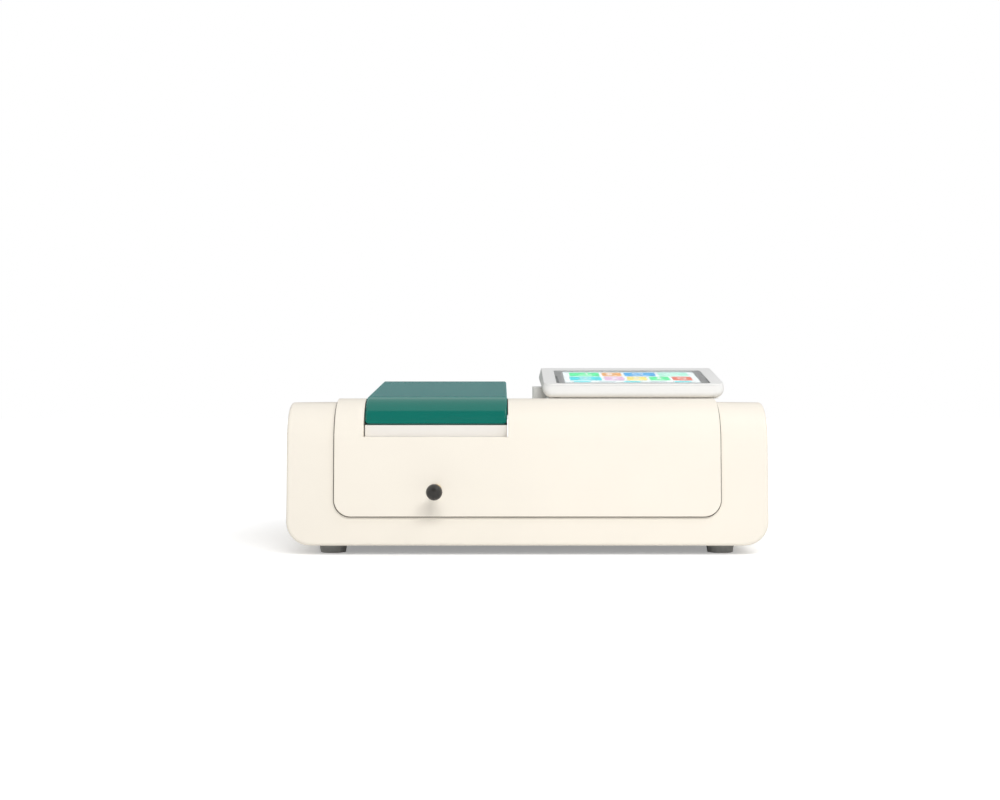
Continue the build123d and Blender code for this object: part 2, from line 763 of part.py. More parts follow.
with BuildPart() as guide_rods:
    with BuildSketch(Plane.XZ.offset(-guide_front)):
        with Locations((lid_x - guide_rod_spacing / 2, guide_z), (lid_x + guide_rod_spacing / 2, guide_z)):
            Circle(guide_rod_radius)
    extrude(amount=-(guide_rear + bracket_thickness - guide_front))
save(guide_rods, "guide_rods")

knob_y = rod_y - knob_standoff
rod_end = knob_y + knob_radius / 5
with BuildPart() as pull_rod:
    with BuildSketch(Plane.XZ.offset(-rod_end)):
        with Locations((lid_x, pull_rod_z)):
            Circle(pull_rod_radius)
    extrude(amount=-(carriage_front - rod_end))
save(pull_rod, "pull_rod")

with BuildPart() as ball_knob:
    with Locations((lid_x, knob_y, pull_rod_z)):
        Sphere(knob_radius, rotation=(90, 0, 0))
    with BuildSketch(Plane.XZ.offset(-(rod_end - seat_gap))):
        with Locations((lid_x, pull_rod_z)):
            Circle(pull_rod_radius + pin_clearance)
    extrude(amount=-knob_radius, mode=Mode.SUBTRACT)
save(ball_knob, "ball_knob")

flange_y = rod_y - bushing_flange_radius * lean_slope - seat_gap
with BuildPart() as rod_bushing:
    with BuildSketch(Plane.XZ.offset(-flange_y)):
        with Locations((lid_x, pull_rod_z)):
            Circle(bushing_radius)
    extrude(amount=-bushing_length)
    with BuildSketch(Plane.XZ.offset(-flange_y)):
        with Locations((lid_x, pull_rod_z)):
            Circle(bushing_flange_radius)
    extrude(amount=bushing_flange)
    chamfer(rod_bushing.edges().filter_by(GeomType.CIRCLE).sort_by(Axis.Y)[0], bushing_flange / 3)
    with BuildSketch(Plane.XZ.offset(-(flange_y - bushing_flange))):
        with Locations((lid_x, pull_rod_z)):
            Circle(pull_rod_radius + running_clearance)
    extrude(amount=-(bushing_flange + bushing_length), mode=Mode.SUBTRACT)
save(rod_bushing, "rod_bushing")

with BuildPart() as reference_holder:
    cell_block(back(reference_beam_depth) - block_margin, 2 * block_margin, tub_inside,
               [back(reference_beam_depth)])
    with Locations((lid_x, back(reference_beam_depth), tub_inside)):
        Box(carriage_base_width, 2 * block_margin, tub_floor, align=(Align.CENTER, Align.CENTER, Align.MIN))
save(reference_holder, "reference_holder")

# Display: flat casing that lies on a cradle and tilts up about a pin near its front lower edge
display_front = back(display_front_depth)
display_rest_gap = 1.0
display_front_top = saddle_top + display_rest_gap + display_front_height
tilt_rad = radians(display_tilt)
pivot = (display_front + display_pivot_inset, saddle_top + display_rest_gap + display_pivot_inset)
display_reach = display_length / cos(tilt_rad)
display_plane = Plane(origin=(display_x, display_front, display_front_top), x_dir=(1, 0, 0),
                      z_dir=(0, -sin(tilt_rad), cos(tilt_rad)))
rear_top = (display_front + display_reach * cos(tilt_rad), display_front_top + display_reach * sin(tilt_rad))
rear_low = (rear_top[0] + display_rear_drop * sin(tilt_rad) / 2, rear_top[1] - display_rear_drop)
under_run = rear_low[0] - pivot[0]
under_fall = rear_low[1] - pivot[1]
under_slope = atan2(under_fall, under_run) + asin(display_pivot_inset / hypot(under_run, under_fall))


def display_outline(inset):
    """Side view of the display casing, its front lower edge rolled round the pivot."""
    radius = display_pivot_inset - inset
    low = (pivot[0] + radius * sin(under_slope), pivot[1] - radius * cos(under_slope))
    rear_bottom = (rear_low[0] - inset, rear_low[1] + inset)
    front = pivot[0] - radius
    with BuildLine() as line:
        Polyline((front, pivot[1]), (front, display_front_top), (rear_top[0] - inset, rear_top[1]),
                 rear_bottom, low)
        CenterArc(pivot, radius, 180, 90 + degrees(under_slope))
    make_face(line.edges())


def display_sides(inset):
    """Front view of the casing: side walls that spread towards the bottom."""
    top_half = display_width / 2 - inset
    drop = display_front_height + display_rear_drop
    with BuildLine() as line:
        Polyline((display_x - top_half, 0), (display_x + top_half, 0),
                 (display_x + top_half + drop * tan(radians(display_draft)), -drop),
                 (display_x - top_half - drop * tan(radians(display_draft)), -drop), close=True)
    make_face(line.edges())


slope_view = Plane(origin=(0, display_front, display_front_top), x_dir=(1, 0, 0),
                   z_dir=(0, -cos(tilt_rad), -sin(tilt_rad)))


def display_block(inset):
    """Casing-shaped solid, smaller on all sides by the inset."""
    with BuildPart() as block:
        with BuildSketch(Plane.YZ):
            display_outline(inset)
        extrude(amount=body_width, both=True)
        with BuildSketch(slope_view):
            display_sides(inset)
        extrude(amount=body_depth, both=True, mode=Mode.INTERSECT)
        corner = display_corner_radius - inset
        front_edges = block.edges().filter_by(lambda e: e.geom_type == GeomType.LINE
                                              and abs(e.tangent_at(0).X) < 0.5
                                              and e.center().Y < pivot[0] - display_pivot_inset + inset + 1)
        fillet(front_edges, corner)
    return block.part


def slab(plane, low, high):
    """Endless slab between two heights above a plane, for trimming."""
    with BuildPart() as block:
        with BuildSketch(plane.offset(low)):
            Rectangle(4 * body_width, 4 * body_width)
        extrude(amount=high - low)
    return block.part


arm_inset = 16.0
hinge_arm_x = [display_x + side * (display_width / 2 - arm_inset) for side in (-1, 1)]
arm_width = 9.0
rib_width = 4.0
casing = display_block(0)
with BuildPart() as display_housing:
    add(casing)
    add(slab(display_plane, -bezel_height - seat_gap, body_depth), mode=Mode.SUBTRACT)
    add(display_block(display_wall), mode=Mode.SUBTRACT)
    for arm_x in hinge_arm_x:
        for side in (-1, 1):
            with BuildSketch(Plane.YZ.offset(arm_x + side * (arm_width / 2 + knuckle_gap))):
                with Locations(pivot):
                    Circle(display_pivot_inset - display_wall / 2)
                    Circle(hinge_bore, mode=Mode.SUBTRACT)
            extrude(amount=side * rib_width)
        with Locations((arm_x, pivot[0] - display_eye_radius / 2, pivot[1])):
            Box(arm_width + 2 * knuckle_gap, 6 * display_eye_radius, 2 * hinge_roll,
                align=(Align.CENTER, Align.MIN, Align.MAX), mode=Mode.SUBTRACT)
save(display_housing, "display_housing")

collar_depth = 5.0
glass_middle = display_reach / 2 - glass_front_shift
collar_rim = 4.0
with BuildPart() as display_bezel:
    add(casing)
    add(slab(display_plane, -body_depth, -bezel_height), mode=Mode.SUBTRACT)
    with BuildSketch(display_plane.offset(-collar_depth)):
        with Locations((0, glass_middle)):
            RectangleRounded(glass_width + 2 * collar_rim, glass_length + collar_rim, collar_rim)
    extrude(amount=collar_depth - bezel_height / 2)
    with BuildSketch(display_plane.offset(-glass_thickness - seat_gap)):
        with Locations((0, glass_middle)):
            RectangleRounded(glass_width + 2 * seat_gap, glass_length + 2 * seat_gap, collar_rim)
    extrude(amount=2 * glass_thickness, mode=Mode.SUBTRACT)
    with BuildSketch(display_plane):
        with Locations((0, glass_middle)):
            Rectangle(screen_width, screen_length)
    extrude(amount=-2 * collar_depth, mode=Mode.SUBTRACT)
save(display_bezel, "display_bezel")

with BuildPart() as touch_glass:
    with BuildSketch(display_plane.offset(-seat_gap)):
        with Locations((0, glass_middle)):
            RectangleRounded(glass_width, glass_length, collar_rim)
    extrude(amount=-glass_thickness)
save(touch_glass, "touch_glass")

lcd_thickness = 3.0
board_share_x = 0.8
board_share_y = 0.7
post_share = 0.85
with BuildPart() as lcd_panel:
    with BuildSketch(display_plane.offset(-collar_depth)):
        with Locations((0, glass_middle)):
            Rectangle(screen_width + collar_rim, screen_length + collar_rim / 2)
    extrude(amount=-lcd_thickness)
save(lcd_panel, "lcd_panel")

with BuildPart() as display_board:
    with BuildSketch(display_plane.offset(-collar_depth - lcd_thickness)):
        with Locations((0, glass_middle)):
            with GridLocations(screen_width * board_share_x * post_share,
                               screen_length * board_share_y * post_share, 2, 2):
                Circle(hinge_pin_radius)
    extrude(amount=-bezel_height)
    with BuildSketch(display_plane.offset(-collar_depth - lcd_thickness - bezel_height)):
        with Locations((0, glass_middle)):
            Rectangle(screen_width * board_share_x, screen_length * board_share_y)
    extrude(amount=-detector_board_thickness)
save(display_board, "display_board")

# Hinge pins of the lid and the display
lid_pin_length = hinge_ear_width + 2 * knuckle_gap + 2 * knuckle_length
display_pin_length = arm_width + 2 * knuckle_gap + 2 * rib_width
with BuildPart() as hinge_pins:
    with Locations(*[(ear_x, hinge_y, hinge_z) for ear_x in ear_places]):
        Cylinder(hinge_pin_radius, lid_pin_length, rotation=(0, 90, 0))
    with Locations(*[(arm_x, pivot[0], pivot[1]) for arm_x in hinge_arm_x]):
        Cylinder(hinge_pin_radius, display_pin_length, rotation=(0, 90, 0))
save(hinge_pins, "hinge_pins")

# Cradle: plate on the centre cover with two hinge arms in front and a rest bar behind
cradle_front = pivot[0] + 2 * display_pivot_inset
arm_foot = 5.0
bar_rear = rear_low[0] + cradle_bar_depth / 2
with BuildPart() as display_cradle:
    with Locations((display_x, cradle_front, saddle_top)):
        Box(display_width - 2 * (arm_inset - arm_width), bar_rear - cradle_front, cradle_plate,
            align=(Align.CENTER, Align.MIN, Align.MIN))
    with Locations((display_x, bar_rear, saddle_top)):
        Box(cradle_bar_width, cradle_bar_depth, body_depth, align=(Align.CENTER, Align.MAX, Align.MIN))
    fillet(display_cradle.edges().filter_by(Axis.Z).filter_by(
        lambda e: abs(e.center().X - display_x) > cradle_bar_width / 2 - 1), display_corner_radius / 2)
    with BuildSketch(Plane.YZ):
        with BuildLine() as rest_line:
            rest = rear_low[1] - seat_gap
            Polyline((rear_low[0] - body_depth * cos(under_slope), rest - body_depth * sin(under_slope)),
                     (rear_low[0], rest), (bar_rear, rest), (bar_rear, 3 * body_depth),
                     (rear_low[0] - body_depth * cos(under_slope), 3 * body_depth), close=True)
        make_face(rest_line.edges())
    extrude(amount=body_width, both=True, mode=Mode.SUBTRACT)
    for arm_x in hinge_arm_x:
        with BuildSketch(Plane.YZ.offset(arm_x)):
            with BuildLine() as arm_line:
                Polyline((pivot[0], pivot[1] - display_eye_radius / 2), pivot,
                         (cradle_front + arm_foot, saddle_top + cradle_plate),
                         (cradle_front + arm_foot, saddle_top), (cradle_front, saddle_top), close=True)
            make_face(arm_line.edges())
            with Locations(pivot):
                Circle(display_eye_radius)
            with Locations(pivot):
                Circle(hinge_bore, mode=Mode.SUBTRACT)
        extrude(amount=arm_width / 2, both=True)
save(display_cradle, "display_cradle")

# Base pan: folded sheet tray with foot holes, screw holes and an air intake under the lamps
flange_x = floor_half - 2 * pan_thickness
pan_top = foot_height + pan_thickness
foot_places = [(sx * (half_width - foot_inset_x), sy) for sx in (-1, 1)
               for sy in (front_y + foot_inset_y, rear_y - foot_inset_y)]
vent_length = 40.0
vent_width = 4.0
vent_pitch = 9.0
vent_count = 8
foot_screw_radius = 2.5
with BuildPart() as base_pan:
    with BuildSketch(Plane.XY.offset(foot_height)):
        with Locations((0, pan_front + seat_gap)):
            Rectangle(2 * (pan_half - seat_gap), pan_rear - pan_front - seat_gap,
                      align=(Align.CENTER, Align.MIN))
        with Locations(*cover_screw_places):
            Circle(screw_radius + slip_gap, mode=Mode.SUBTRACT)
        with Locations(*foot_places):
            Circle(foot_screw_radius + slip_gap, mode=Mode.SUBTRACT)
        with Locations((fan_x, back((bench_rear_depth + supply_front_depth) / 2))):
            with GridLocations(vent_pitch, 1, vent_count, 1):
                SlotOverall(vent_length, vent_width, rotation=90, mode=Mode.SUBTRACT)
    extrude(amount=pan_thickness)
    for side in (-1, 1):
        with Locations((side * flange_x, front_y + front_lip + pan_thickness, foot_height)):
            Box(pan_thickness, pan_rear - front_y - front_lip - 3 * pan_thickness, pan_flange_height,
                align=(Align.CENTER, Align.MIN, Align.MIN))
    with Locations((0, front_y + front_lip + pan_thickness, foot_height)):
        Box(2 * flange_x, pan_thickness, pan_flange_height, align=(Align.CENTER, Align.MIN, Align.MIN))
    with Locations((0, panel_front, foot_height)):
        Box(2 * flange_x, pan_thickness, pan_thickness + standoff_height,
            align=(Align.CENTER, Align.MAX, Align.MIN))
save(base_pan, "base_pan")

foot_recess = 5.0
foot_taper = 2.0
with BuildPart() as rubber_feet:
    with Locations(*[(x, y, 0) for x, y in foot_places]):
        Cone(foot_radius - foot_taper, foot_radius, foot_height, align=(Align.CENTER, Align.CENTER, Align.MIN))
    with BuildSketch():
        with Locations(*foot_places):
            Circle(2 * foot_screw_radius + 1)
    extrude(amount=foot_recess, mode=Mode.SUBTRACT)
    with BuildSketch():
        with Locations(*foot_places):
            Circle(foot_screw_radius + pin_clearance)
    extrude(amount=foot_height, mode=Mode.SUBTRACT)
save(rubber_feet, "rubber_feet")


def screws(places, plane, radius, head_radius, length):
    """Pan-head screws seated on a plane: heads on its outer side, shanks behind it."""
    with BuildPart() as group:
        with BuildSketch(plane):
            with Locations(*places):
                Circle(head_radius)
        extrude(amount=screw_head_height)
        chamfer(group.edges().group_by(Axis(plane.origin, plane.z_dir))[-1], screw_head_height / 3)
        with BuildSketch(plane):
            with Locations(*places):
                Circle(radius)
        extrude(amount=-length)
    return group


foot_screws = screws([(x, -y) for x, y in foot_places],
                     Plane(origin=(0, 0, foot_recess), x_dir=(1, 0, 0), z_dir=(0, 0, -1)),
                     foot_screw_radius, 2 * foot_screw_radius, foot_height)
save(foot_screws, "foot_screws")

cover_screws = screws([(x, -y) for x, y in cover_screw_places],
                      Plane(origin=(0, 0, foot_height), x_dir=(1, 0, 0), z_dir=(0, 0, -1)),
                      screw_radius, screw_head_radius, screw_length)
save(cover_screws, "cover_screws")

rear_face = Plane(origin=(0, rear_y - rear_recess, 0), x_dir=(-1, 0, 0), z_dir=(0, 1, 0))
rear_panel_screws = screws([(-x, z) for x, z in rear_screw_places], rear_face,
                           screw_radius, screw_head_radius, screw_length)
save(rear_panel_screws, "rear_panel_screws")

# Rear panel: flat sheet inside the rear of the cover, with fan grille, vents, inlet and port windows
panel_gap = 0.4
grille_ring = 5.0
grille_step = 8.0
grille_rings = 3
spoke_width = 4.0
port_window = 62.0
port_base = pan_top + standoff_height + board_thickness
rear_vent_z = 150.0
with BuildPart() as rear_panel:
    with BuildSketch(Plane.XZ.offset(-(rear_y - rear_recess))):
        front_outline(cover_wall + panel_gap, end_top - cover_wall - panel_gap)
        with Locations(*rear_screw_places):
            Circle(screw_radius + slip_gap, mode=Mode.SUBTRACT)
        with Locations((inlet_x, inlet_z)):
            Rectangle(inlet_body_width + 2 * seat_gap, inlet_body_height + 2 * seat_gap, mode=Mode.SUBTRACT)
        with Locations((board_x, port_base + port_height / 2)):
            Rectangle(port_window + 2 * slip_gap, port_height + 2 * slip_gap, mode=Mode.SUBTRACT)
        with Locations((board_x, rear_vent_z)):
            with GridLocations(vent_pitch, 1, 2 * vent_count, 1):
                SlotOverall(vent_length, vent_width, rotation=90, mode=Mode.SUBTRACT)
    extrude(amount=rear_plate)
    with BuildSketch(Plane.XZ.offset(-(rear_y - rear_recess))):
        with Locations((fan_x, fan_z)):
            for ring in reversed(range(grille_rings)):
                Circle(grille_step * ring + grille_step / 2 + grille_ring)
                Circle(grille_step * ring + grille_step / 2, mode=Mode.SUBTRACT)
            Rectangle(spoke_width, fan_size, mode=Mode.SUBTRACT)
            Rectangle(fan_size, spoke_width, mode=Mode.SUBTRACT)
    extrude(amount=rear_plate, mode=Mode.SUBTRACT)
save(rear_panel, "rear_panel")

# Fan behind the grille
hub_gap = 0.6
blade_depth = 12.0
blade_thickness = 1.5
blade_pitch_angle = 35.0
fan_rear = panel_front
fan_plane = Plane(origin=(fan_x, fan_rear, fan_z), x_dir=(1, 0, 0), z_dir=(0, -1, 0))
fan_corner = 4.0
fan_screw_inset = 5.0
fan_screw_spacing = fan_size - 2 * fan_screw_inset
bore_overlap = 1.0
with BuildPart() as fan_frame:
    with BuildSketch(fan_plane):
        RectangleRounded(fan_size, fan_size, fan_corner)
        with GridLocations(fan_screw_spacing, fan_screw_spacing, 2, 2):
            Circle(screw_radius, mode=Mode.SUBTRACT)
    extrude(amount=fan_thickness)
    with BuildSketch(fan_plane):
        Circle(fan_bore_radius)
    extrude(amount=fan_thickness, mode=Mode.SUBTRACT)
    with BuildSketch(fan_plane.offset(fan_thickness - cradle_plate)):
        Circle(fan_hub_radius)
        Rectangle(2 * (fan_bore_radius + bore_overlap), spoke_width)
        Rectangle(spoke_width, 2 * (fan_bore_radius + bore_overlap))
    extrude(amount=cradle_plate)
    with BuildSketch(fan_plane.offset(fan_thickness - cradle_plate)):
        Circle(hinge_pin_radius)
    extrude(amount=-blade_depth / 2)
save(fan_frame, "fan_frame")

blade_plane = fan_plane.offset(cradle_plate)
rotor_depth = fan_thickness - 2 * cradle_plate - hub_gap
with BuildPart() as fan_rotor:
    with BuildSketch(blade_plane):
        Circle(fan_hub_radius)
    extrude(amount=rotor_depth)
    fillet(fan_rotor.edges().filter_by(GeomType.CIRCLE).sort_by(Axis.Y)[-1], cradle_plate)
    for turn in range(fan_blades):
        angle = radians(turn * 360 / fan_blades)
        radial = Vector(cos(angle), 0, sin(angle))
        middle = Vector(fan_x, blade_plane.origin.Y - rotor_depth / 2, fan_z)
        root = Plane(origin=middle + radial * (fan_hub_radius - 1), x_dir=(0, -1, 0), z_dir=radial)
        with BuildSketch(root):
            Rectangle(blade_depth, blade_thickness, rotation=blade_pitch_angle)
        with BuildSketch(root.offset(fan_blade_radius - fan_hub_radius)):
            Rectangle(blade_depth, blade_thickness, rotation=blade_pitch_angle / 2)
        loft()
    with BuildSketch(blade_plane.offset(rotor_depth)):
        Circle(hinge_bore)
    extrude(amount=-blade_depth / 2, mode=Mode.SUBTRACT)
save(fan_rotor, "fan_rotor")

# Power inlet with its rocker switch, in the rear panel
inlet_plane = Plane(origin=(inlet_x, rear_y - rear_recess, inlet_z), x_dir=(-1, 0, 0), z_dir=(0, 1, 0))
rocker_face = rear_y - rear_recess + inlet_flange
rocker_pivot = (rocker_face - rocker_pivot_depth, inlet_z + rocker_rise)
rocker_pin_half = rocker_width / 2 + knuckle_gap + rocker_pin_reach
half_w = socket_width / 2
half_h = socket_height / 2
bevel = socket_height / 3
inlet_corner = 3.0
contact_thickness = 2.0
contact_height = 4.0
contact_length = 9.0
contact_spacing = 7.0
with BuildPart() as power_inlet:
    with BuildSketch(inlet_plane):
        RectangleRounded(inlet_flange_width, inlet_flange_height, inlet_corner)
    extrude(amount=inlet_flange)
    with BuildSketch(inlet_plane):
        Rectangle(inlet_body_width, inlet_body_height)
    extrude(amount=-inlet_body_depth)
    mouth_plane = inlet_plane.offset(inlet_flange)
    with BuildSketch(mouth_plane):
        with Locations((0, -socket_drop)):
            Polygon((-half_w, -half_h), (half_w, -half_h), (half_w, half_h - bevel), (half_w - bevel, half_h),
                    (bevel - half_w, half_h), (-half_w, half_h - bevel), align=None)
    extrude(amount=-socket_depth - inlet_flange, mode=Mode.SUBTRACT)
    with BuildSketch(mouth_plane.offset(-socket_depth - inlet_flange)):
        with Locations((-contact_spacing, -socket_drop - contact_thickness),
                       (contact_spacing, -socket_drop - contact_thickness),
                       (0, -socket_drop + contact_thickness)):
            Rectangle(contact_thickness, contact_height)
    extrude(amount=contact_length)
    with BuildSketch(mouth_plane):
        with Locations((0, rocker_rise)):
            Rectangle(rocker_width + 2 * knuckle_gap, rocker_height)
    extrude(amount=-socket_depth / 2 - inlet_flange, mode=Mode.SUBTRACT)
    with BuildSketch(Plane.YZ.offset(inlet_x)):
        with Locations(rocker_pivot):
            Circle(rocker_pin_radius + pin_clearance)
    extrude(amount=rocker_pin_half + seat_gap, both=True, mode=Mode.SUBTRACT)
save(power_inlet, "power_inlet")

with BuildPart() as power_rocker:
    with BuildSketch(Plane.YZ.offset(inlet_x)):
        with Locations((rocker_face, inlet_z + rocker_rise)):
            Polygon((0, -rocker_half), (0, 0), (rocker_peak, rocker_half), (-rocker_pivot_depth, rocker_half),
                    (-rocker_depth, rocker_half / 2), (-rocker_depth, -rocker_half / 2),
                    (-rocker_pivot_depth, -rocker_half), align=None)
    extrude(amount=rocker_width / 2, both=True)
    with BuildSketch(Plane.YZ.offset(inlet_x)):
        with Locations(rocker_pivot):
            Circle(rocker_pin_radius)
    extrude(amount=rocker_pin_half, both=True)
save(power_rocker, "power_rocker")

# Optics: each upright piece stands on the bench and faces along its beam


def upright(place, facing):
    """Plane at beam height whose normal points along the facing angle, measured from +X towards +Y."""
    angle = radians(facing)
    return Plane(origin=(place[0], back(place[1]), beam_height), x_dir=(-sin(angle), cos(angle), 0),
                 z_dir=(cos(angle), sin(angle), 0))


def facing_both(place, first, second):
    """Facing angle of a mirror that sends the beam from one place on to another."""
    to_first = atan2(first[1] - place[1], first[0] - place[0])
    to_second = atan2(second[1] - place[1], second[0] - place[0])
    return degrees(atan2(sin(to_first) + sin(to_second), cos(to_first) + cos(to_second)))


entrance_place = (entrance_x, entrance_depth)
grating_place = (grating_x, grating_depth)
collimator_place = (collimator_x, mirror_depth)
focus_place = (focus_x, mirror_depth)
exit_mirror_place = (exit_mirror_x, reference_beam_depth)
exit_place = (slit_x, reference_beam_depth)
splitter_place = (splitter_x, reference_beam_depth)
fold_place = (splitter_x, sample_beam_depth)
lens_place = (lens_x, reference_beam_depth)
sample_lens_place = (lens_x, sample_beam_depth)
collimator_plane = upright(collimator_place, facing_both(collimator_place, entrance_place, grating_place))
focus_plane = upright(focus_place, facing_both(focus_place, grating_place, exit_mirror_place))
exit_mirror_plane = upright(exit_mirror_place, facing_both(exit_mirror_place, focus_place, exit_place))
splitter_plane = upright(splitter_place, facing_both(splitter_place, exit_place, fold_place))
fold_plane = upright(fold_place, facing_both(fold_place, splitter_place, sample_lens_place))
beam_drop = beam_height - bench_top
mount_foot = 12.0
mirror_focus = entrance_depth - mirror_depth

with BuildPart() as concave_mirrors:
    for plane in (collimator_plane, focus_plane):
        with BuildSketch(plane):
            Rectangle(mirror_width, mirror_height)
        extrude(amount=-mirror_thickness)
        with Locations(plane.offset(2 * mirror_focus - mirror_hollow)):
            Sphere(2 * mirror_focus, mode=Mode.SUBTRACT)
save(concave_mirrors, "concave_mirrors")

with BuildPart() as fold_mirrors:
    for plane in (exit_mirror_plane, fold_plane):
        with BuildSketch(plane):
            Rectangle(flat_mirror_width, flat_mirror_height)
        extrude(amount=-flat_mirror_thickness)
save(fold_mirrors, "fold_mirrors")

with BuildPart() as beam_splitter:
    with BuildSketch(splitter_plane):
        Rectangle(flat_mirror_width, flat_mirror_height)
    extrude(amount=-flat_mirror_thickness)
save(beam_splitter, "beam_splitter")


def mirror_mount(plane, width, height, thickness, opening):
    """Upright plate behind a mirror, with a foot on the bench and a window for light that goes through."""
    with BuildSketch(plane.offset(-thickness)) as plate:
        with Locations((0, -beam_drop)):
            Rectangle(width, beam_drop + height / 2, align=(Align.CENTER, Align.MIN))
        if opening > 0:
            Rectangle(opening, opening, mode=Mode.SUBTRACT)
    extrude(plate.sketch, amount=-mirror_back)
    with BuildSketch(plane.offset(-thickness - mirror_back)) as foot:
        with Locations((0, -beam_drop)):
            Rectangle(width, mirror_back, align=(Align.CENTER, Align.MIN))
    extrude(foot.sketch, amount=-mount_foot)


with BuildPart() as mirror_mounts:
    for plane in (collimator_plane, focus_plane):
        mirror_mount(plane, mirror_width, mirror_height, mirror_thickness, 0)
    for plane in (exit_mirror_plane, fold_plane):
        mirror_mount(plane, flat_mirror_width, flat_mirror_height, flat_mirror_thickness, 0)
    mirror_mount(splitter_plane, flat_mirror_width, flat_mirror_height, flat_mirror_thickness, slit_height)
save(mirror_mounts, "mirror_mounts")

# Lenses in front of the tub's windows
lens_planes = [upright(sample_lens_place, 0), upright(lens_place, 0)]
lens_curve = (lens_radius ** 2 + lens_bulge ** 2) / (2 * lens_bulge)
lens_half = lens_thickness / 2
lens_arc = degrees(asin(lens_radius / lens_curve))
with BuildPart() as lens_mounts:
    for plane in lens_planes:
        with BuildSketch(plane):
            with Locations((0, -beam_drop)):
                Rectangle(lens_mount_width, beam_drop + lens_mount_width / 2, align=(Align.CENTER, Align.MIN))
            Circle(lens_radius + seat_gap, mode=Mode.SUBTRACT)
        extrude(amount=lens_mount_thickness / 2, both=True)
save(lens_mounts, "lens_mounts")

with BuildPart() as beam_lenses:
    for plane in lens_planes:
        axis_plane = Plane(origin=plane.origin, x_dir=(1, 0, 0), z_dir=(0, -1, 0))
        with BuildSketch(axis_plane):
            with BuildLine():
                CenterArc((lens_half - lens_curve, 0), lens_curve, 0, lens_arc)
                CenterArc((lens_curve - lens_half, 0), lens_curve, 180, -lens_arc)
                Line((lens_half - lens_bulge, lens_radius), (lens_bulge - lens_half, lens_radius))
                Line((lens_half, 0), (-lens_half, 0))
            make_face()
        revolve(axis=Axis(plane.origin, (1, 0, 0)))
save(beam_lenses, "beam_lenses")

# Slits: thin upright plates with one narrow window
entrance_plane = upright(entrance_place, 90)
exit_plane = upright(exit_place, 0)
with BuildPart() as beam_slits:
    for plane in (entrance_plane, exit_plane):
        with BuildSketch(plane):
            with Locations((0, -beam_drop)):
                Rectangle(slit_plate_width, beam_drop + slit_plate_width / 2, align=(Align.CENTER, Align.MIN))
            Rectangle(slit_width, slit_height, mode=Mode.SUBTRACT)
        extrude(amount=slit_plate)
        with BuildSketch(plane):
            with Locations((0, -beam_drop)):
                Rectangle(slit_plate_width, slit_plate, align=(Align.CENTER, Align.MIN))
        extrude(amount=slit_foot)
save(beam_slits, "beam_slits")

# Monochromator walls round the mirrors and grating, with light holes at the two slits
mono_left = slit_x + slit_foot + slip_gap
mono_front = back(bench_front_depth) + slit_foot / 2
mono_rear = back(entrance_depth) - slip_gap
with BuildPart() as monochromator_walls:
    with BuildSketch(Plane.XY.offset(bench_top)):
        with Locations((mono_left, mono_front)):
            Rectangle(mono_right - mono_left, mono_rear - mono_front, align=(Align.MIN, Align.MIN))
        with Locations((mono_left + wall_thickness, mono_front + wall_thickness)):
            Rectangle(mono_right - mono_left - 2 * wall_thickness, mono_rear - mono_front - 2 * wall_thickness,
                      align=(Align.MIN, Align.MIN), mode=Mode.SUBTRACT)
    extrude(amount=wall_height)
    with BuildSketch(entrance_plane):
        Rectangle(slit_height, slit_height)
    extrude(amount=-slit_plate_width, mode=Mode.SUBTRACT)
    with BuildSketch(exit_plane):
        Rectangle(slit_height, slit_height)
    extrude(amount=slit_plate_width, mode=Mode.SUBTRACT)
save(monochromator_walls, "monochromator_walls")


def stepper(plane, size, height, name):
    """Square stepping motor whose front face lies on the plane, with a pilot boss and a shaft bore."""
    with BuildPart() as motor:
        with BuildSketch(plane):
            RectangleRounded(size, size, motor_corner)
        extrude(amount=-height)
        with BuildSketch(plane):
            Circle(size / 4)
        extrude(amount=table_gap)
        with BuildSketch(plane.offset(table_gap)):
            Circle(motor_shaft_radius + running_clearance)
        extrude(amount=-height + motor_shaft_radius, mode=Mode.SUBTRACT)
    save(motor, name)


# Grating on its turntable, straight on the motor's shaft
motor_top = bench_top + motor_height
table_base = motor_top + table_gap + slip_gap
table_top = table_base + table_thickness
shaft_reach = motor_height / 2
stepper(Plane(origin=(grating_x, back(grating_depth), motor_top)), motor_size, motor_height, "grating_motor")


def turntable(place, radius):
    """Disc on a shaft that turns in the motor below."""
    with Locations((place[0], back(place[1]), table_base)):
        Cylinder(radius, table_thickness, align=(Align.CENTER, Align.CENTER, Align.MIN))
        Cylinder(motor_shaft_radius, shaft_reach, align=(Align.CENTER, Align.CENTER, Align.MAX))


with BuildPart() as grating_table:
    turntable(grating_place, table_radius)
save(grating_table, "grating_table")

with BuildPart() as grating:
    with BuildSketch(Plane.XY.offset(table_top)):
        with Locations((grating_x, back(grating_depth))):
            Rectangle(grating_size, grating_thickness, align=(Align.CENTER, Align.MIN))
    extrude(amount=grating_size)
save(grating, "grating")

# Lamps, the mirror that picks one of them, and their sheet-metal house
source_place = (entrance_x, source_depth)
stepper(Plane(origin=(entrance_x, back(source_depth), motor_top)), small_motor_size, motor_height,
        "source_mirror_motor")
with BuildPart() as source_mirror:
    turntable(source_place, small_motor_size / 2)
    with BuildSketch(Plane.XY.offset(table_top)):
        with Locations((entrance_x, back(source_depth))):
            Rectangle(source_mirror_size, flat_mirror_thickness, align=(Align.CENTER, Align.MIN),
                      rotation=source_mirror_angle)
    extrude(amount=source_mirror_size)
save(source_mirror, "source_mirror")

lamp_base_top = beam_height - lamp_height / 2


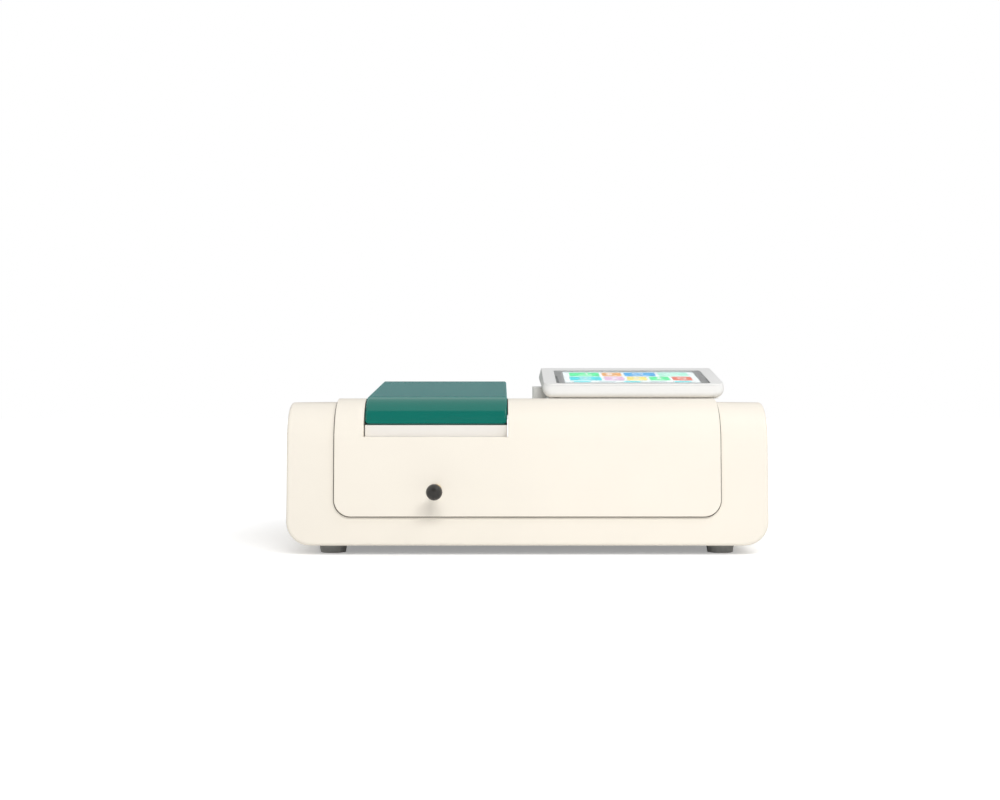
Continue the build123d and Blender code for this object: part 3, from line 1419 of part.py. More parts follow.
def lamp(x, base_radius, glass_radius, glass_height, name):
    """Glass lamp with a domed end, upright in a round base on the bench."""
    with BuildPart() as bulb:
        with BuildSketch(Plane.XY.offset(bench_top)):
            with Locations((x, back(source_depth))):
                Circle(base_radius)
        extrude(amount=lamp_base_top - bench_top)
        with BuildSketch(Plane.XY.offset(lamp_base_top)):
            with Locations((x, back(source_depth))):
                Circle(glass_radius)
        extrude(amount=glass_height)
        fillet(bulb.edges().filter_by(GeomType.CIRCLE).sort_by(Axis.Z)[-1], bulb_radius * bulb_roundness)
    save(bulb, name)


lamp(entrance_x - lamp_spacing / 2, lamp_radius, bulb_radius, bulb_height, "tungsten_lamp")
lamp(entrance_x + lamp_spacing / 2, lamp_radius, arc_tube_radius, lamp_height, "deuterium_lamp")

house_left = entrance_x - lamp_spacing / 2 - 2 * small_motor_size / 2
house_right = bench_half - house_wall
with BuildPart() as lamp_house:
    with BuildSketch(Plane.XY.offset(bench_top)):
        with Locations((house_left, back(house_front_depth))):
            Rectangle(house_right - house_left, house_depth, align=(Align.MIN, Align.MIN))
        with Locations((house_left + house_wall, back(house_front_depth) + house_wall)):
            Rectangle(house_right - house_left - 2 * house_wall, house_depth - 2 * house_wall,
                      align=(Align.MIN, Align.MIN), mode=Mode.SUBTRACT)
    extrude(amount=house_height)
    with BuildSketch(Plane.XZ.offset(-back(house_front_depth))):
        with Locations((entrance_x, beam_height)):
            Circle(slit_height)
    extrude(amount=-house_wall, mode=Mode.SUBTRACT)
    with BuildSketch(Plane.XZ.offset(-back(bench_rear_depth))):
        with Locations((fan_x, fan_z)):
            Circle(fan_bore_radius)
    extrude(amount=house_wall, mode=Mode.SUBTRACT)
save(lamp_house, "lamp_house")

# Filter wheel behind the entrance slit
wheel_x = entrance_x - wheel_pitch_radius
wheel_face = back(entrance_depth) + slit_foot + wheel_gap
wheel_rear = wheel_face + wheel_thickness
wheel_plane = Plane(origin=(wheel_x, wheel_rear, beam_height), x_dir=(1, 0, 0), z_dir=(0, -1, 0))
with BuildPart() as filter_wheel:
    with BuildSketch(wheel_plane):
        Circle(wheel_radius)
        with PolarLocations(wheel_pitch_radius, wheel_filters):
            Circle(wheel_filter_radius, mode=Mode.SUBTRACT)
    extrude(amount=wheel_thickness)
    with BuildSketch(wheel_plane):
        Circle(motor_shaft_radius)
    extrude(amount=-shaft_reach)
save(filter_wheel, "filter_wheel")

open_place_angle = 360 / wheel_filters
with BuildPart() as order_filters:
    with BuildSketch(wheel_plane):
        with PolarLocations(wheel_pitch_radius, wheel_filters - 1, start_angle=open_place_angle,
                            angular_range=360 - open_place_angle):
            Circle(wheel_filter_radius - seat_gap / 2)
    extrude(amount=wheel_thickness)
save(order_filters, "order_filters")

filter_motor_face = wheel_rear + wheel_gap
filter_motor_length = motor_height - wheel_gap
filter_motor_plane = Plane(origin=(wheel_x, filter_motor_face, beam_height), x_dir=(1, 0, 0), z_dir=(0, -1, 0))
stepper(filter_motor_plane, small_motor_size, filter_motor_length, "filter_motor")
with BuildPart() as filter_motor_stand:
    with Locations((wheel_x, filter_motor_face + table_gap, bench_top)):
        Box(small_motor_size, filter_motor_length - 2 * table_gap, beam_drop - small_motor_size / 2,
            align=(Align.CENTER, Align.MIN, Align.MIN))
save(filter_motor_stand, "filter_motor_stand")

# Detectors on the left of the tub, one for each beam
with BuildPart() as detector_boards:
    for depth in beam_depths:
        with BuildSketch(Plane.YZ.offset(detector_x)):
            with Locations((back(depth), beam_height)):
                Rectangle(detector_board_size, detector_board_size)
        extrude(amount=detector_board_thickness)
        with BuildSketch(Plane.YZ.offset(detector_x + detector_board_thickness)):
            with Locations((back(depth), beam_height)):
                Circle(diode_radius)
        extrude(amount=diode_length)
save(detector_boards, "detector_boards")

with BuildPart() as detector_brackets:
    for depth in beam_depths:
        with Locations((detector_x, back(depth), bench_top)):
            Box(bracket_plate, detector_board_size, beam_drop + detector_board_size / 2,
                align=(Align.MAX, Align.CENTER, Align.MIN))
            Box(mount_foot, detector_board_size, bracket_plate, align=(Align.MAX, Align.CENTER, Align.MIN))
save(detector_brackets, "detector_brackets")

# Power supply and main board behind the bench, on the pan
board_top = pan_top + standoff_height + board_thickness
supply_middle = back(supply_front_depth) + supply_depth / 2
with BuildPart() as power_supply:
    with Locations((supply_x, back(supply_front_depth), pan_top)):
        Box(supply_width, supply_depth, house_wall, align=(Align.CENTER, Align.MIN, Align.MIN))
        Box(supply_width, house_wall, supply_height, align=(Align.CENTER, Align.MIN, Align.MIN))
    with Locations((supply_x, back(supply_front_depth), board_top - board_thickness)):
        Box(supply_width, supply_depth, board_thickness, align=(Align.CENTER, Align.MIN, Align.MIN))
    with Locations((supply_x - supply_width / 4, supply_middle, board_top)):
        Box(transformer_width, supply_depth / 2, transformer_height,
            align=(Align.CENTER, Align.CENTER, Align.MIN))
    with Locations((supply_x + supply_width / 5, supply_middle, board_top)):
        with GridLocations(supply_width / 5, supply_depth / 3, 2, 2):
            Cylinder(capacitor_radius, capacitor_height, align=(Align.CENTER, Align.CENTER, Align.MIN))
save(power_supply, "power_supply")

board_rear = panel_front - pan_thickness - slip_gap
board_depth = board_rear - back(supply_front_depth)
board_middle = board_rear - board_depth / 2
with BuildPart() as main_board:
    with Locations((board_x, board_middle, pan_top + standoff_height)):
        Box(board_width, board_depth, board_thickness, align=(Align.CENTER, Align.CENTER, Align.MIN))
    with Locations((board_x, board_middle, pan_top)):
        with GridLocations(board_width - 2 * standoff_inset, board_depth - 2 * standoff_inset, 2, 2):
            Cylinder(standoff_radius, standoff_height, align=(Align.CENTER, Align.CENTER, Align.MIN))
    with Locations((board_x, board_middle, port_base)):
        with GridLocations(board_width / 4, board_depth / 3, 3, 2):
            Box(chip_width, chip_width, chip_height, align=(Align.CENTER, Align.CENTER, Align.MIN))
save(main_board, "main_board")

network_port_width = 31.0
data_port_width = 12.0
port_pitch = 15.0
port_length = 18.0
port_shell = 1.5
first_port_x = board_x - port_window / 2
port_places = [(first_port_x + network_port_width / 2, network_port_width)]
port_places += [(first_port_x + network_port_width + i * port_pitch - data_port_width / 2, data_port_width)
                for i in (1, 2)]
with BuildPart() as data_ports:
    for x, width in port_places:
        with Locations((x, rear_y - rear_recess, port_base)):
            Box(width, port_length, port_height, align=(Align.CENTER, Align.MAX, Align.MIN))
        with Locations((x, rear_y - rear_recess, port_base + port_height / 2)):
            Box(width - 2 * port_shell, port_length, port_height - 2 * port_shell, mode=Mode.SUBTRACT)
save(data_ports, "data_ports")
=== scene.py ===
# %% [markdown]
# This lesson dresses a double-beam uv-vis spectrophotometer. Its solids come from a CAD model,
# so the shapes and sizes are settled, and every piece made here goes where the CAD says.
# We load the imported model first. The dressed model must not outgrow it.

# %% Load the frame
import bpy
import bmesh
from math import radians, sin, cos, tan, pi
from mathutils import Matrix, Vector


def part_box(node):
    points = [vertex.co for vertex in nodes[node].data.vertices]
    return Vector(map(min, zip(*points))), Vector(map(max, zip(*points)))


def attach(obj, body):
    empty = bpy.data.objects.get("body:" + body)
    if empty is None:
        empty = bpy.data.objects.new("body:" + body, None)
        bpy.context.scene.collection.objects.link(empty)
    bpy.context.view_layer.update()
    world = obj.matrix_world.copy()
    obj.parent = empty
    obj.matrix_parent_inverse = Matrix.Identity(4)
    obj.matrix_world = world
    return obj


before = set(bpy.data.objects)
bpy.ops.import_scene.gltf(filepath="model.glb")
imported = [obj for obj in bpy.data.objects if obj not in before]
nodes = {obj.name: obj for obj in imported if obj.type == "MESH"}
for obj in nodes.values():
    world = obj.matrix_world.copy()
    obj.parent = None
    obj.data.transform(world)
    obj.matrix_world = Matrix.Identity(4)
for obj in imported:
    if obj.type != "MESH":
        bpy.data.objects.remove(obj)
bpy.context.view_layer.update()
scene = bpy.context.scene
scene.view_settings.view_transform = "Standard"

# %% [markdown]
# Nearly every surface of an instrument is one base colour with a little variation, a roughness
# and a fine relief. A few small helpers that build just that keep the later cells short.
# What is constant over the surface is set on the shader's own sockets.

# %% A helper for plain finishes
COAT_ROUGH = 0.1


def set_sockets(node, values):
    for socket, value in values.items():
        node.inputs[socket].default_value = value


def shader_of(material):
    return material.node_tree.nodes["Principled BSDF"]


def finish(name, colour, rough, metal=0.0, specular=0.5, coat=0.0):
    material = bpy.data.materials.new(name)
    material.use_nodes = True
    set_sockets(shader_of(material), {
        "Base Color": (*colour, 1),
        "Roughness": rough,
        "Metallic": metal,
        "Specular IOR Level": specular,
        "Coat Weight": coat,
        "Coat Roughness": COAT_ROUGH,
    })
    return material


print("finish helper ready")

# %% [markdown]
# The variation comes from Noise textures. They read Object coordinates in metres, so a grain
# of 0.4 mm needs a scale near 2500. One noise can drive the colour between two shades, the
# roughness between two values, and a bump for the relief. Most of a noise lies near its middle,
# so the colour ramp runs between 0.3 and 0.7 only.

# %% Helpers for variation
RAMP_ENDS = (0.3, 0.7)


def noise(material, scale, detail=2, stretch=(1, 1, 1)):
    tree = material.node_tree
    place = tree.nodes.new("ShaderNodeTexCoord")
    mapping = tree.nodes.new("ShaderNodeMapping")
    texture = tree.nodes.new("ShaderNodeTexNoise")
    set_sockets(mapping, {"Scale": stretch})
    set_sockets(texture, {"Scale": scale, "Detail": detail})
    tree.links.new(place.outputs["Object"], mapping.inputs["Vector"])
    tree.links.new(mapping.outputs["Vector"], texture.inputs["Vector"])
    return texture


def shades(colour, spread):
    darker = tuple(c * (1 - spread) for c in colour)
    lighter = tuple(min(1, c * (1 + spread)) for c in colour)
    return darker, lighter


def vary_colour(material, texture, low, high):
    tree = material.node_tree
    ramp = tree.nodes.new("ShaderNodeValToRGB")
    for stop, position, colour in zip(ramp.color_ramp.elements, RAMP_ENDS, (low, high)):
        stop.position = position
        stop.color = (*colour, 1)
    tree.links.new(texture.outputs["Fac"], ramp.inputs["Fac"])
    tree.links.new(ramp.outputs["Color"], shader_of(material).inputs["Base Color"])


def vary_rough(material, texture, low, high):
    tree = material.node_tree
    spread = tree.nodes.new("ShaderNodeMapRange")
    set_sockets(spread, {"To Min": low, "To Max": high})
    tree.links.new(texture.outputs["Fac"], spread.inputs["Value"])
    tree.links.new(spread.outputs["Result"], shader_of(material).inputs["Roughness"])


def relief(material, texture, depth, strength):
    tree = material.node_tree
    bump = tree.nodes.new("ShaderNodeBump")
    set_sockets(bump, {"Distance": depth, "Strength": strength})
    tree.links.new(texture.outputs["Fac"], bump.inputs["Height"])
    tree.links.new(bump.outputs["Normal"], shader_of(material).inputs["Normal"])


print("variation helpers ready")

# %% [markdown]
# The big covers are injection mouldings in a warm cream. Their tool was spark eroded, which leaves
# a very fine satin grain, and large mouldings also flow a little unevenly. Two noises do this:
# a broad one moves the colour by one part in a hundred, a fine one gives the grain its relief.

# %% Moulded plastics of the covers
FLOW_SCALE = 7
GRAIN_SCALE = 2600
GRAIN_STRENGTH = 0.35
GRAIN_SMOOTHER = 0.05
GRAIN_ROUGHER = 0.06
COLOUR_SPREAD = 0.012


def moulded(name, colour, rough, depth=0.00003, specular=0.45):
    material = finish(name, colour, rough, specular=specular)
    vary_colour(material, noise(material, FLOW_SCALE), *shades(colour, COLOUR_SPREAD))
    grain = noise(material, GRAIN_SCALE)
    vary_rough(material, grain, rough - GRAIN_SMOOTHER, rough + GRAIN_ROUGHER)
    relief(material, grain, depth, GRAIN_STRENGTH)
    return material


cream_cover = moulded("cream_moulding", (0.90, 0.843, 0.745), 0.42)
frame_plastic = moulded("grey_white_moulding", (0.84, 0.81, 0.77), 0.45)
display_plastic = moulded("display_white_moulding", (0.86, 0.86, 0.85), 0.42)
pale_plastic = moulded("pale_grey_moulding", (0.88, 0.88, 0.87), 0.5)
black_plastic = moulded("black_moulding", (0.022, 0.022, 0.023), 0.5, specular=0.5)
fan_plastic = moulded("fan_black_moulding", (0.018, 0.018, 0.018), 0.42)
print("mouldings", cream_cover.name, frame_plastic.name, display_plastic.name)

# %% [markdown]
# The sample lid is a different moulding: deep green and polished, so that it mirrors the room.
# A dark base colour with a smooth surface does this. Faint long waves in the relief bend the
# reflections a little, as on every polished moulding. In the photograph the lid's top, seen at
# a very low angle, is a pale blue-green. A sheen gives that, because it grows towards the edge
# of what we see.

# %% Glossy green lid
LID_GREEN = (0.003, 0.150, 0.116)
LID_SPREAD = 0.05
LID_WAVE_SCALE = 9
LID_WAVE_DEPTH = 0.0003
LID_WAVE_STRENGTH = 0.08
lid_plastic = finish("green_gloss_moulding", LID_GREEN, 0.13, specular=0.42)
lid_waves = noise(lid_plastic, LID_WAVE_SCALE)
vary_colour(lid_plastic, lid_waves, *shades(LID_GREEN, LID_SPREAD))
relief(lid_plastic, lid_waves, LID_WAVE_DEPTH, LID_WAVE_STRENGTH)
set_sockets(shader_of(lid_plastic), {
    "Sheen Weight": 0.35,
    "Sheen Roughness": 0.35,
    "Sheen Tint": (0.12, 0.95, 1.0, 1),
})
print("lid finish", lid_plastic.name)

# %% [markdown]
# Rubber is dull, with a coarser skin than the covers. The lid closes on a dark green seal, and
# the instrument and its optical bench stand on grey rubber.

# %% Rubber
RUBBER_DEPTH = 0.0001


def rubber(name, colour, rough, grain=900, detail=2, strength=0.4):
    material = finish(name, colour, rough)
    relief(material, noise(material, grain, detail), RUBBER_DEPTH, strength)
    return material


seal_rubber = rubber("green_seal_rubber", (0.02, 0.06, 0.05), 0.6)
foot_rubber = rubber("grey_rubber", (0.38, 0.38, 0.37), 0.7, grain=1200, detail=3, strength=0.5)
print("rubber", seal_rubber.name, foot_rubber.name)

# %% [markdown]
# Metals differ mostly in how their surface was worked. Cast metal is pebbled, a milled plate has
# a directional grain, sheet steel is painted with a fine orange peel, a ground rod is nearly
# a mirror, and anodised parts are black with a silky gloss. Stretching the noise along one axis
# gives the directional ones.

# %% Metals
METAL_SPREAD = 0.06
METAL_DETAIL = 4
METAL_STRENGTH = 0.4
METAL_SMOOTHER = 0.06
METAL_ROUGHER = 0.08
ROD_DEPTH = 0.00001


def metal_finish(name, colour, rough, grain, stretch=(1, 1, 1), depth=0.00004, metal=1.0):
    material = finish(name, colour, rough, metal=metal)
    texture = noise(material, grain, METAL_DETAIL, stretch)
    vary_colour(material, texture, *shades(colour, METAL_SPREAD))
    vary_rough(material, texture, rough - METAL_SMOOTHER, rough + METAL_ROUGHER)
    relief(material, texture, depth, METAL_STRENGTH)
    return material


cast_metal = metal_finish("cast_aluminium", (0.42, 0.43, 0.45), 0.5, 700, depth=0.0002)
milled_metal = metal_finish("milled_aluminium", (0.66, 0.67, 0.69), 0.3, 260, (1, 30, 1))
black_anodised = metal_finish("black_anodised", (0.030, 0.030, 0.034), 0.38, 1400, metal=0.6)
black_paint = metal_finish("matt_black_paint", (0.022, 0.022, 0.022), 0.62, 1600, metal=0.0)
painted_sheet = metal_finish("painted_sheet_steel", (0.62, 0.61, 0.58), 0.42, 1300, metal=0.0)
bright_sheet = metal_finish("zinc_sheet_steel", (0.55, 0.56, 0.58), 0.36, 120, (1, 1, 8))
screw_metal = metal_finish("screw_steel", (0.50, 0.50, 0.51), 0.32, 900)
rod_metal = metal_finish("ground_rod_steel", (0.64, 0.64, 0.65), 0.16, 300, (1, 40, 1), ROD_DEPTH)
motor_metal = metal_finish("motor_steel", (0.34, 0.34, 0.36), 0.4, 160, (1, 1, 20))
brass_metal = metal_finish("turned_brass", (0.62, 0.44, 0.19), 0.28, 500, (1, 20, 1))
port_metal = metal_finish("port_shell_metal", (0.62, 0.62, 0.64), 0.25, 400)
print("metals", cast_metal.name, milled_metal.name, rod_metal.name)

# %% [markdown]
# Optical pieces: clear glass for windows, lenses and lamps, front-silvered mirrors, and a grating.
# The grating's rulings are far too fine to draw, and what the eye sees is a sheen that changes
# with the angle, so a Layer Weight colours its metal from green to violet.

# %% Glass, mirrors and grating
GLASS_ROUGH = 0.02
GLASS_WAVE_SCALE = 60
GLASS_WAVE_DEPTH = 0.00002
MIRROR_WAVE_SCALE = 40
MIRROR_WAVE_DEPTH = 0.00001
POLISH_STRENGTH = 0.1
FACING_BLEND = 0.4


def glass_finish(name, colour, ior=1.46):
    material = finish(name, colour, GLASS_ROUGH)
    set_sockets(shader_of(material), {"Transmission Weight": 1.0, "IOR": ior})
    relief(material, noise(material, GLASS_WAVE_SCALE), GLASS_WAVE_DEPTH, POLISH_STRENGTH)
    return material


clear_glass = glass_finish("fused_silica", (0.97, 0.985, 0.99))
filter_glass = glass_finish("amber_filter_glass", (0.85, 0.35, 0.06))
cover_glass = glass_finish("screen_cover_glass", (0.93, 0.95, 0.96), ior=1.5)
mirror_coating = finish("front_silvered", (0.88, 0.89, 0.91), 0.04, metal=1.0)
mirror_waves = noise(mirror_coating, MIRROR_WAVE_SCALE)
relief(mirror_coating, mirror_waves, MIRROR_WAVE_DEPTH, POLISH_STRENGTH)
grating_coating = finish("ruled_grating", (0.6, 0.6, 0.6), 0.12, metal=1.0)
grating_tree = grating_coating.node_tree
facing = grating_tree.nodes.new("ShaderNodeLayerWeight")
set_sockets(facing, {"Blend": FACING_BLEND})
rainbow = grating_tree.nodes.new("ShaderNodeValToRGB")
rainbow.color_ramp.elements[0].color = (0.25, 0.75, 0.45, 1)
rainbow.color_ramp.elements[1].color = (0.55, 0.25, 0.8, 1)
grating_tree.links.new(facing.outputs["Facing"], rainbow.inputs["Fac"])
grating_tree.links.new(rainbow.outputs["Color"], shader_of(grating_coating).inputs["Base Color"])
print("optical finishes", clear_glass.name, mirror_coating.name, grating_coating.name)

# %% [markdown]
# A circuit board is green lacquer over copper tracks. The tracks show as slightly lighter lines,
# and a Brick texture with thin mortar makes a believable right-angled pattern at board scale.

# %% Circuit board and ball knob
board_lacquer = finish("green_board_lacquer", (0.02, 0.16, 0.07), 0.3, coat=0.4)
board_tree = board_lacquer.node_tree
board_place = board_tree.nodes.new("ShaderNodeTexCoord")
tracks = board_tree.nodes.new("ShaderNodeTexBrick")
set_sockets(tracks, {
    "Scale": 90,
    "Mortar Size": 0.03,
    "Color1": (0.016, 0.13, 0.055, 1),
    "Color2": (0.020, 0.16, 0.070, 1),
    "Mortar": (0.06, 0.27, 0.12, 1),
})
board_tree.links.new(board_place.outputs["Object"], tracks.inputs["Vector"])
board_tree.links.new(tracks.outputs["Color"], shader_of(board_lacquer).inputs["Base Color"])
knob_plastic = moulded("black_ball_plastic", (0.026, 0.024, 0.021), 0.30, depth=0.00001)
print("board and knob", board_lacquer.name, knob_plastic.name)

# %% [markdown]
# Now each CAD node gets its finish. The list below reads like a parts list of the instrument,
# and the loop stops if a node was forgotten, so no piece stays in the plain import colour.

# %% Dress the CAD nodes
panel_metal = black_anodised.copy()
dress = {
    cream_cover: ["main_cover", "centre_cover"],
    frame_plastic: ["compartment_frame"],
    lid_plastic: ["lid"],
    seal_rubber: ["lid_seal"],
    display_plastic: ["display_housing", "display_bezel"],
    pale_plastic: ["display_cradle"],
    black_plastic: ["lid_liner", "power_inlet", "power_rocker"],
    fan_plastic: ["fan_frame", "fan_rotor"],
    knob_plastic: ["ball_knob"],
    foot_rubber: ["rubber_feet", "damping_mounts"],
    cast_metal: ["optical_bench"],
    milled_metal: ["guide_brackets", "grating_table", "filter_motor_stand", "detector_brackets"],
    black_anodised: ["cell_carriage", "reference_holder", "mirror_mounts", "lens_mounts",
                     "filter_wheel"],
    black_paint: ["sample_tub", "beam_slits", "monochromator_walls"],
    painted_sheet: ["base_pan", "rear_panel"],
    bright_sheet: ["lamp_house"],
    screw_metal: ["foot_screws", "cover_screws", "rear_panel_screws"],
    rod_metal: ["guide_rods", "pull_rod", "hinge_pins"],
    motor_metal: ["grating_motor", "source_mirror_motor", "filter_motor"],
    brass_metal: ["rod_bushing"],
    port_metal: ["data_ports"],
    clear_glass: ["beam_windows", "beam_lenses", "beam_splitter", "tungsten_lamp",
                  "deuterium_lamp"],
    filter_glass: ["order_filters"],
    cover_glass: ["touch_glass"],
    mirror_coating: ["concave_mirrors", "fold_mirrors", "source_mirror"],
    grating_coating: ["grating"],
    board_lacquer: ["display_board", "detector_boards", "power_supply", "main_board"],
    panel_metal: ["lcd_panel"],
}
dressed = set()
for material, names in dress.items():
    for name in names:
        mesh = nodes[name].data
        mesh.materials.clear()
        mesh.materials.append(material)
        dressed.add(name)
forgotten = sorted(set(nodes) - dressed)
assert not forgotten, forgotten
print("dressed", len(dressed), "nodes")

# %% [markdown]
# A few thin things are left for the scene to make. Each is drawn by a function of its own with
# bmesh operators, moved to its place by a matrix, and then rides on one of the CAD's bodies.

# %% A helper for new pieces
def piece(name, draw, materials, body, place=Matrix.Identity(4)):
    shape = bmesh.new()
    draw(shape)
    shape.transform(place)
    mesh = bpy.data.meshes.new(name)
    shape.to_mesh(mesh)
    shape.free()
    for material in materials:
        mesh.materials.append(material)
    thing = bpy.data.objects.new(name, mesh)
    scene.collection.objects.link(thing)
    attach(thing, body)
    return thing


print("piece helper ready")

# %% [markdown]
# The screen sits bonded right under its cover glass, as on most touch displays, so that a flat
# view still shows it at the surface. The CAD holds the panel a little deeper, so one thin sheet
# goes under the glass. We need the display's own plane for that: it leans back by 10.3 degrees
# about its front edge. A matrix takes flat work, drawn as if on a table, to that plane.

# %% The display's plane
DISPLAY_TILT = radians(10.3)
GLASS = (0.200, 0.104)
GLASS_HALF_THICKNESS = 0.0009
SCREEN = (0.177, 0.090)
glass_low, glass_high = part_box("touch_glass")
glass_middle = (glass_low + glass_high) / 2
screen_plane = Matrix.Translation(glass_middle) @ Matrix.Rotation(DISPLAY_TILT, 4, "X")


def under_glass(depth):
    return screen_plane @ Matrix.Translation((0, 0, -GLASS_HALF_THICKNESS - depth))


print("glass middle", [round(c, 4) for c in glass_middle])

# %% [markdown]
# Rounded rectangles are wanted again and again, for the screen, its tiles and their signs.
# create_grid gives one flat face, bevel with affect VERTICES rounds its corners, and an extrude
# gives it thickness. The same few lines serve every size.

# %% Rounded plates
PLATE_SEGMENTS = 5


def sheet(shape, width, length):
    made = bmesh.ops.create_grid(shape, x_segments=1, y_segments=1, size=0.5)
    bmesh.ops.scale(shape, vec=(width, length, 1), verts=made["verts"])
    return made["verts"]


def round_corners(shape, corners, radius, segments):
    rounded = bmesh.ops.bevel(shape, geom=corners, offset=radius, affect="VERTICES",
                              segments=segments, profile=0.5, material=-1)
    return rounded["verts"]


def thicken(shape, faces, thickness):
    raised = bmesh.ops.extrude_face_region(shape, geom=faces)
    top = [g for g in raised["geom"] if isinstance(g, bmesh.types.BMVert)]
    bmesh.ops.translate(shape, vec=(0, 0, thickness), verts=top)
    return top


def faces_round(verts):
    return {f for v in verts for f in v.link_faces}


def plate(shape, size, thickness, radius, centre, slot):
    rounded = round_corners(shape, sheet(shape, *size), radius, PLATE_SEGMENTS)
    top = thicken(shape, list(faces_round(rounded)), thickness)
    every = rounded + top
    bmesh.ops.translate(shape, vec=centre, verts=every)
    for face in faces_round(every):
        face.material_index = slot


print("plate helper ready")

# %% [markdown]
# The screen shows a menu of coloured tiles. They glow, because a screen gives its own light, and
# seen from so low the glass keeps nearly half of it back.

# %% Screen finishes
SCREEN_GLOW = 1.9
UNLIT_SHARE = 0.2
INKS = {
    "paper": (0.93, 0.99, 0.98), "green": (0.05, 0.90, 0.33), "red": (0.85, 0.16, 0.08),
    "orange": (0.92, 0.42, 0.10), "yellow": (0.96, 0.80, 0.20), "blue": (0.03, 0.42, 0.85),
    "cyan": (0.01, 0.74, 0.80), "pink": (0.82, 0.50, 0.74), "mint": (0.45, 0.95, 0.75),
    "white": (1.0, 1.0, 1.0), "grey": (0.60, 0.72, 0.74),
}


def screen_ink(name, colour):
    material = finish("screen_" + name, tuple(c * UNLIT_SHARE for c in colour), 0.35, specular=0.2)
    set_sockets(shader_of(material), {
        "Emission Color": (*colour, 1),
        "Emission Strength": SCREEN_GLOW,
    })
    return material


screen_inks = [screen_ink(name, colour) for name, colour in INKS.items()]
SLOT = {name: slot for slot, name in enumerate(INKS)}
print("screen inks", list(INKS))

# %% [markdown]
# The layout: a bar across the top, then two rows of tiles in uneven widths, each tile with a
# short line under its sign, and five keys at the bottom. A row is written as a list of inks and
# widths, so the picture can be read from the code.

# %% Screen picture
TILE_ROWS = [
    (0.0225, [("green", 0.040), ("orange", 0.026), ("blue", 0.042), ("mint", 0.040)]),
    (-0.0115, [("cyan", 0.042), ("pink", 0.026), ("yellow", 0.026), ("green", 0.026),
               ("red", 0.026)]),
]
TILE_HEIGHT = 0.030
TILE_GAP = 0.004
TILE_ROUND = 0.003
LINE_HEIGHT = 0.0016
LINE_SHARE = 0.5
LINE_DROP = 0.32
LINE_ROUND = 0.0007
TOP_BAR_HEIGHT = 0.007
TOP_BAR_MARGIN = 0.001
KEY_COUNT = 5
KEY_SIZE = (0.022, 0.008)
KEY_STEP = 0.033
KEY_ROUND = 0.002
KEYS_Y = -0.0365
PAPER_THICKNESS = 0.0001
PAPER_ROUND = 0.001
PICTURE_DEPTH = 0.00015
INK_LIFT = 0.00004


def draw_tile(shape, x, middle, width, name):
    plate(shape, (width, TILE_HEIGHT), INK_LIFT, TILE_ROUND, (x, middle, 0), SLOT[name])
    line_size = (width * LINE_SHARE, LINE_HEIGHT)
    line_centre = (x, middle - TILE_HEIGHT * LINE_DROP, INK_LIFT)
    plate(shape, line_size, INK_LIFT, LINE_ROUND, line_centre, SLOT["white"])


def draw_screen(shape):
    plate(shape, SCREEN, PAPER_THICKNESS, PAPER_ROUND, (0, 0, -PAPER_THICKNESS), SLOT["paper"])
    bar_size = (SCREEN[0] - 2 * TOP_BAR_MARGIN, TOP_BAR_HEIGHT)
    bar_y = SCREEN[1] / 2 - TOP_BAR_HEIGHT / 2 - TOP_BAR_MARGIN
    plate(shape, bar_size, INK_LIFT, PAPER_ROUND, (0, bar_y, 0), SLOT["grey"])
    for middle, tiles in TILE_ROWS:
        left = -(sum(width for _, width in tiles) + TILE_GAP * (len(tiles) - 1)) / 2
        for name, width in tiles:
            draw_tile(shape, left + width / 2, middle, width, name)
            left += width + TILE_GAP
    for step in range(KEY_COUNT):
        key_ink = "grey" if step % 2 else "cyan"
        key_x = (step - KEY_COUNT // 2) * KEY_STEP
        plate(shape, KEY_SIZE, INK_LIFT, KEY_ROUND, (key_x, KEYS_Y, 0), SLOT[key_ink])


picture_place = under_glass(PICTURE_DEPTH)
screen_picture = piece("screen_picture", draw_screen, screen_inks, "display_unit", picture_place)
print("screen picture faces", len(screen_picture.data.polygons))

# %% [markdown]
# The signs on the tiles are plain shapes: bars, drops and rings. A ring is a disc that is
# inset, with its inner face deleted. A drop is a disc whose top vertex is pulled out. The inset
# is told to use the boundary, because a face that lies alone has no other edges to move.

# %% Signs on the tiles
DISC_STEPS = 24
DROP_TIP = 1.1
SIGN_RAISE = 0.003
DROP_SINK = 0.001
SIGN_LIFT = 2 * INK_LIFT
SIGN_X = {
    "orange": -0.0258, "blue": 0.0123, "mint": 0.0497,
    "cyan": -0.060, "pink": -0.022, "red": 0.068,
}
RINGS = {
    "blue": (0.0075, 0.0016), "mint": (0.0042, 0.0011),
    "cyan": (0.0075, 0.0014), "red": (0.0060, 0.0018),
}
WAVES = 3
WAVE_STEP = 0.0065
DOT_RADIUS = 0.0030
BIG_DROP = 0.0045
SMALL_DROP = 0.0040
SMALL_DROPS = 3
DROP_STEP = 0.030
BAR_HEIGHTS = (0.006, 0.011, 0.016, 0.009)
BAR_WIDTH = 0.003
BAR_ROUND = 0.0006
BAR_STEP = 0.0045
BARS_LEFT = -0.0655
BARS_FOOT = -0.008


def disc(shape, radius, centre):
    made = bmesh.ops.create_circle(shape, cap_ends=True, segments=DISC_STEPS, radius=radius)
    bmesh.ops.translate(shape, vec=centre, verts=made["verts"])
    for face in faces_round(made["verts"]):
        face.material_index = SLOT["white"]
    return made["verts"]


def inset(shape, faces, width):
    bmesh.ops.inset_region(shape, faces=faces, use_boundary=True, use_even_offset=True,
                           thickness=width)


def ring(shape, radius, width, centre):
    face = list(faces_round(disc(shape, radius, centre)))
    inset(shape, face, width)
    bmesh.ops.delete(shape, geom=face, context="FACES_ONLY")


def drop(shape, radius, centre):
    tip = max(disc(shape, radius, centre), key=lambda v: v.co.y)
    tip.co.y += radius * DROP_TIP


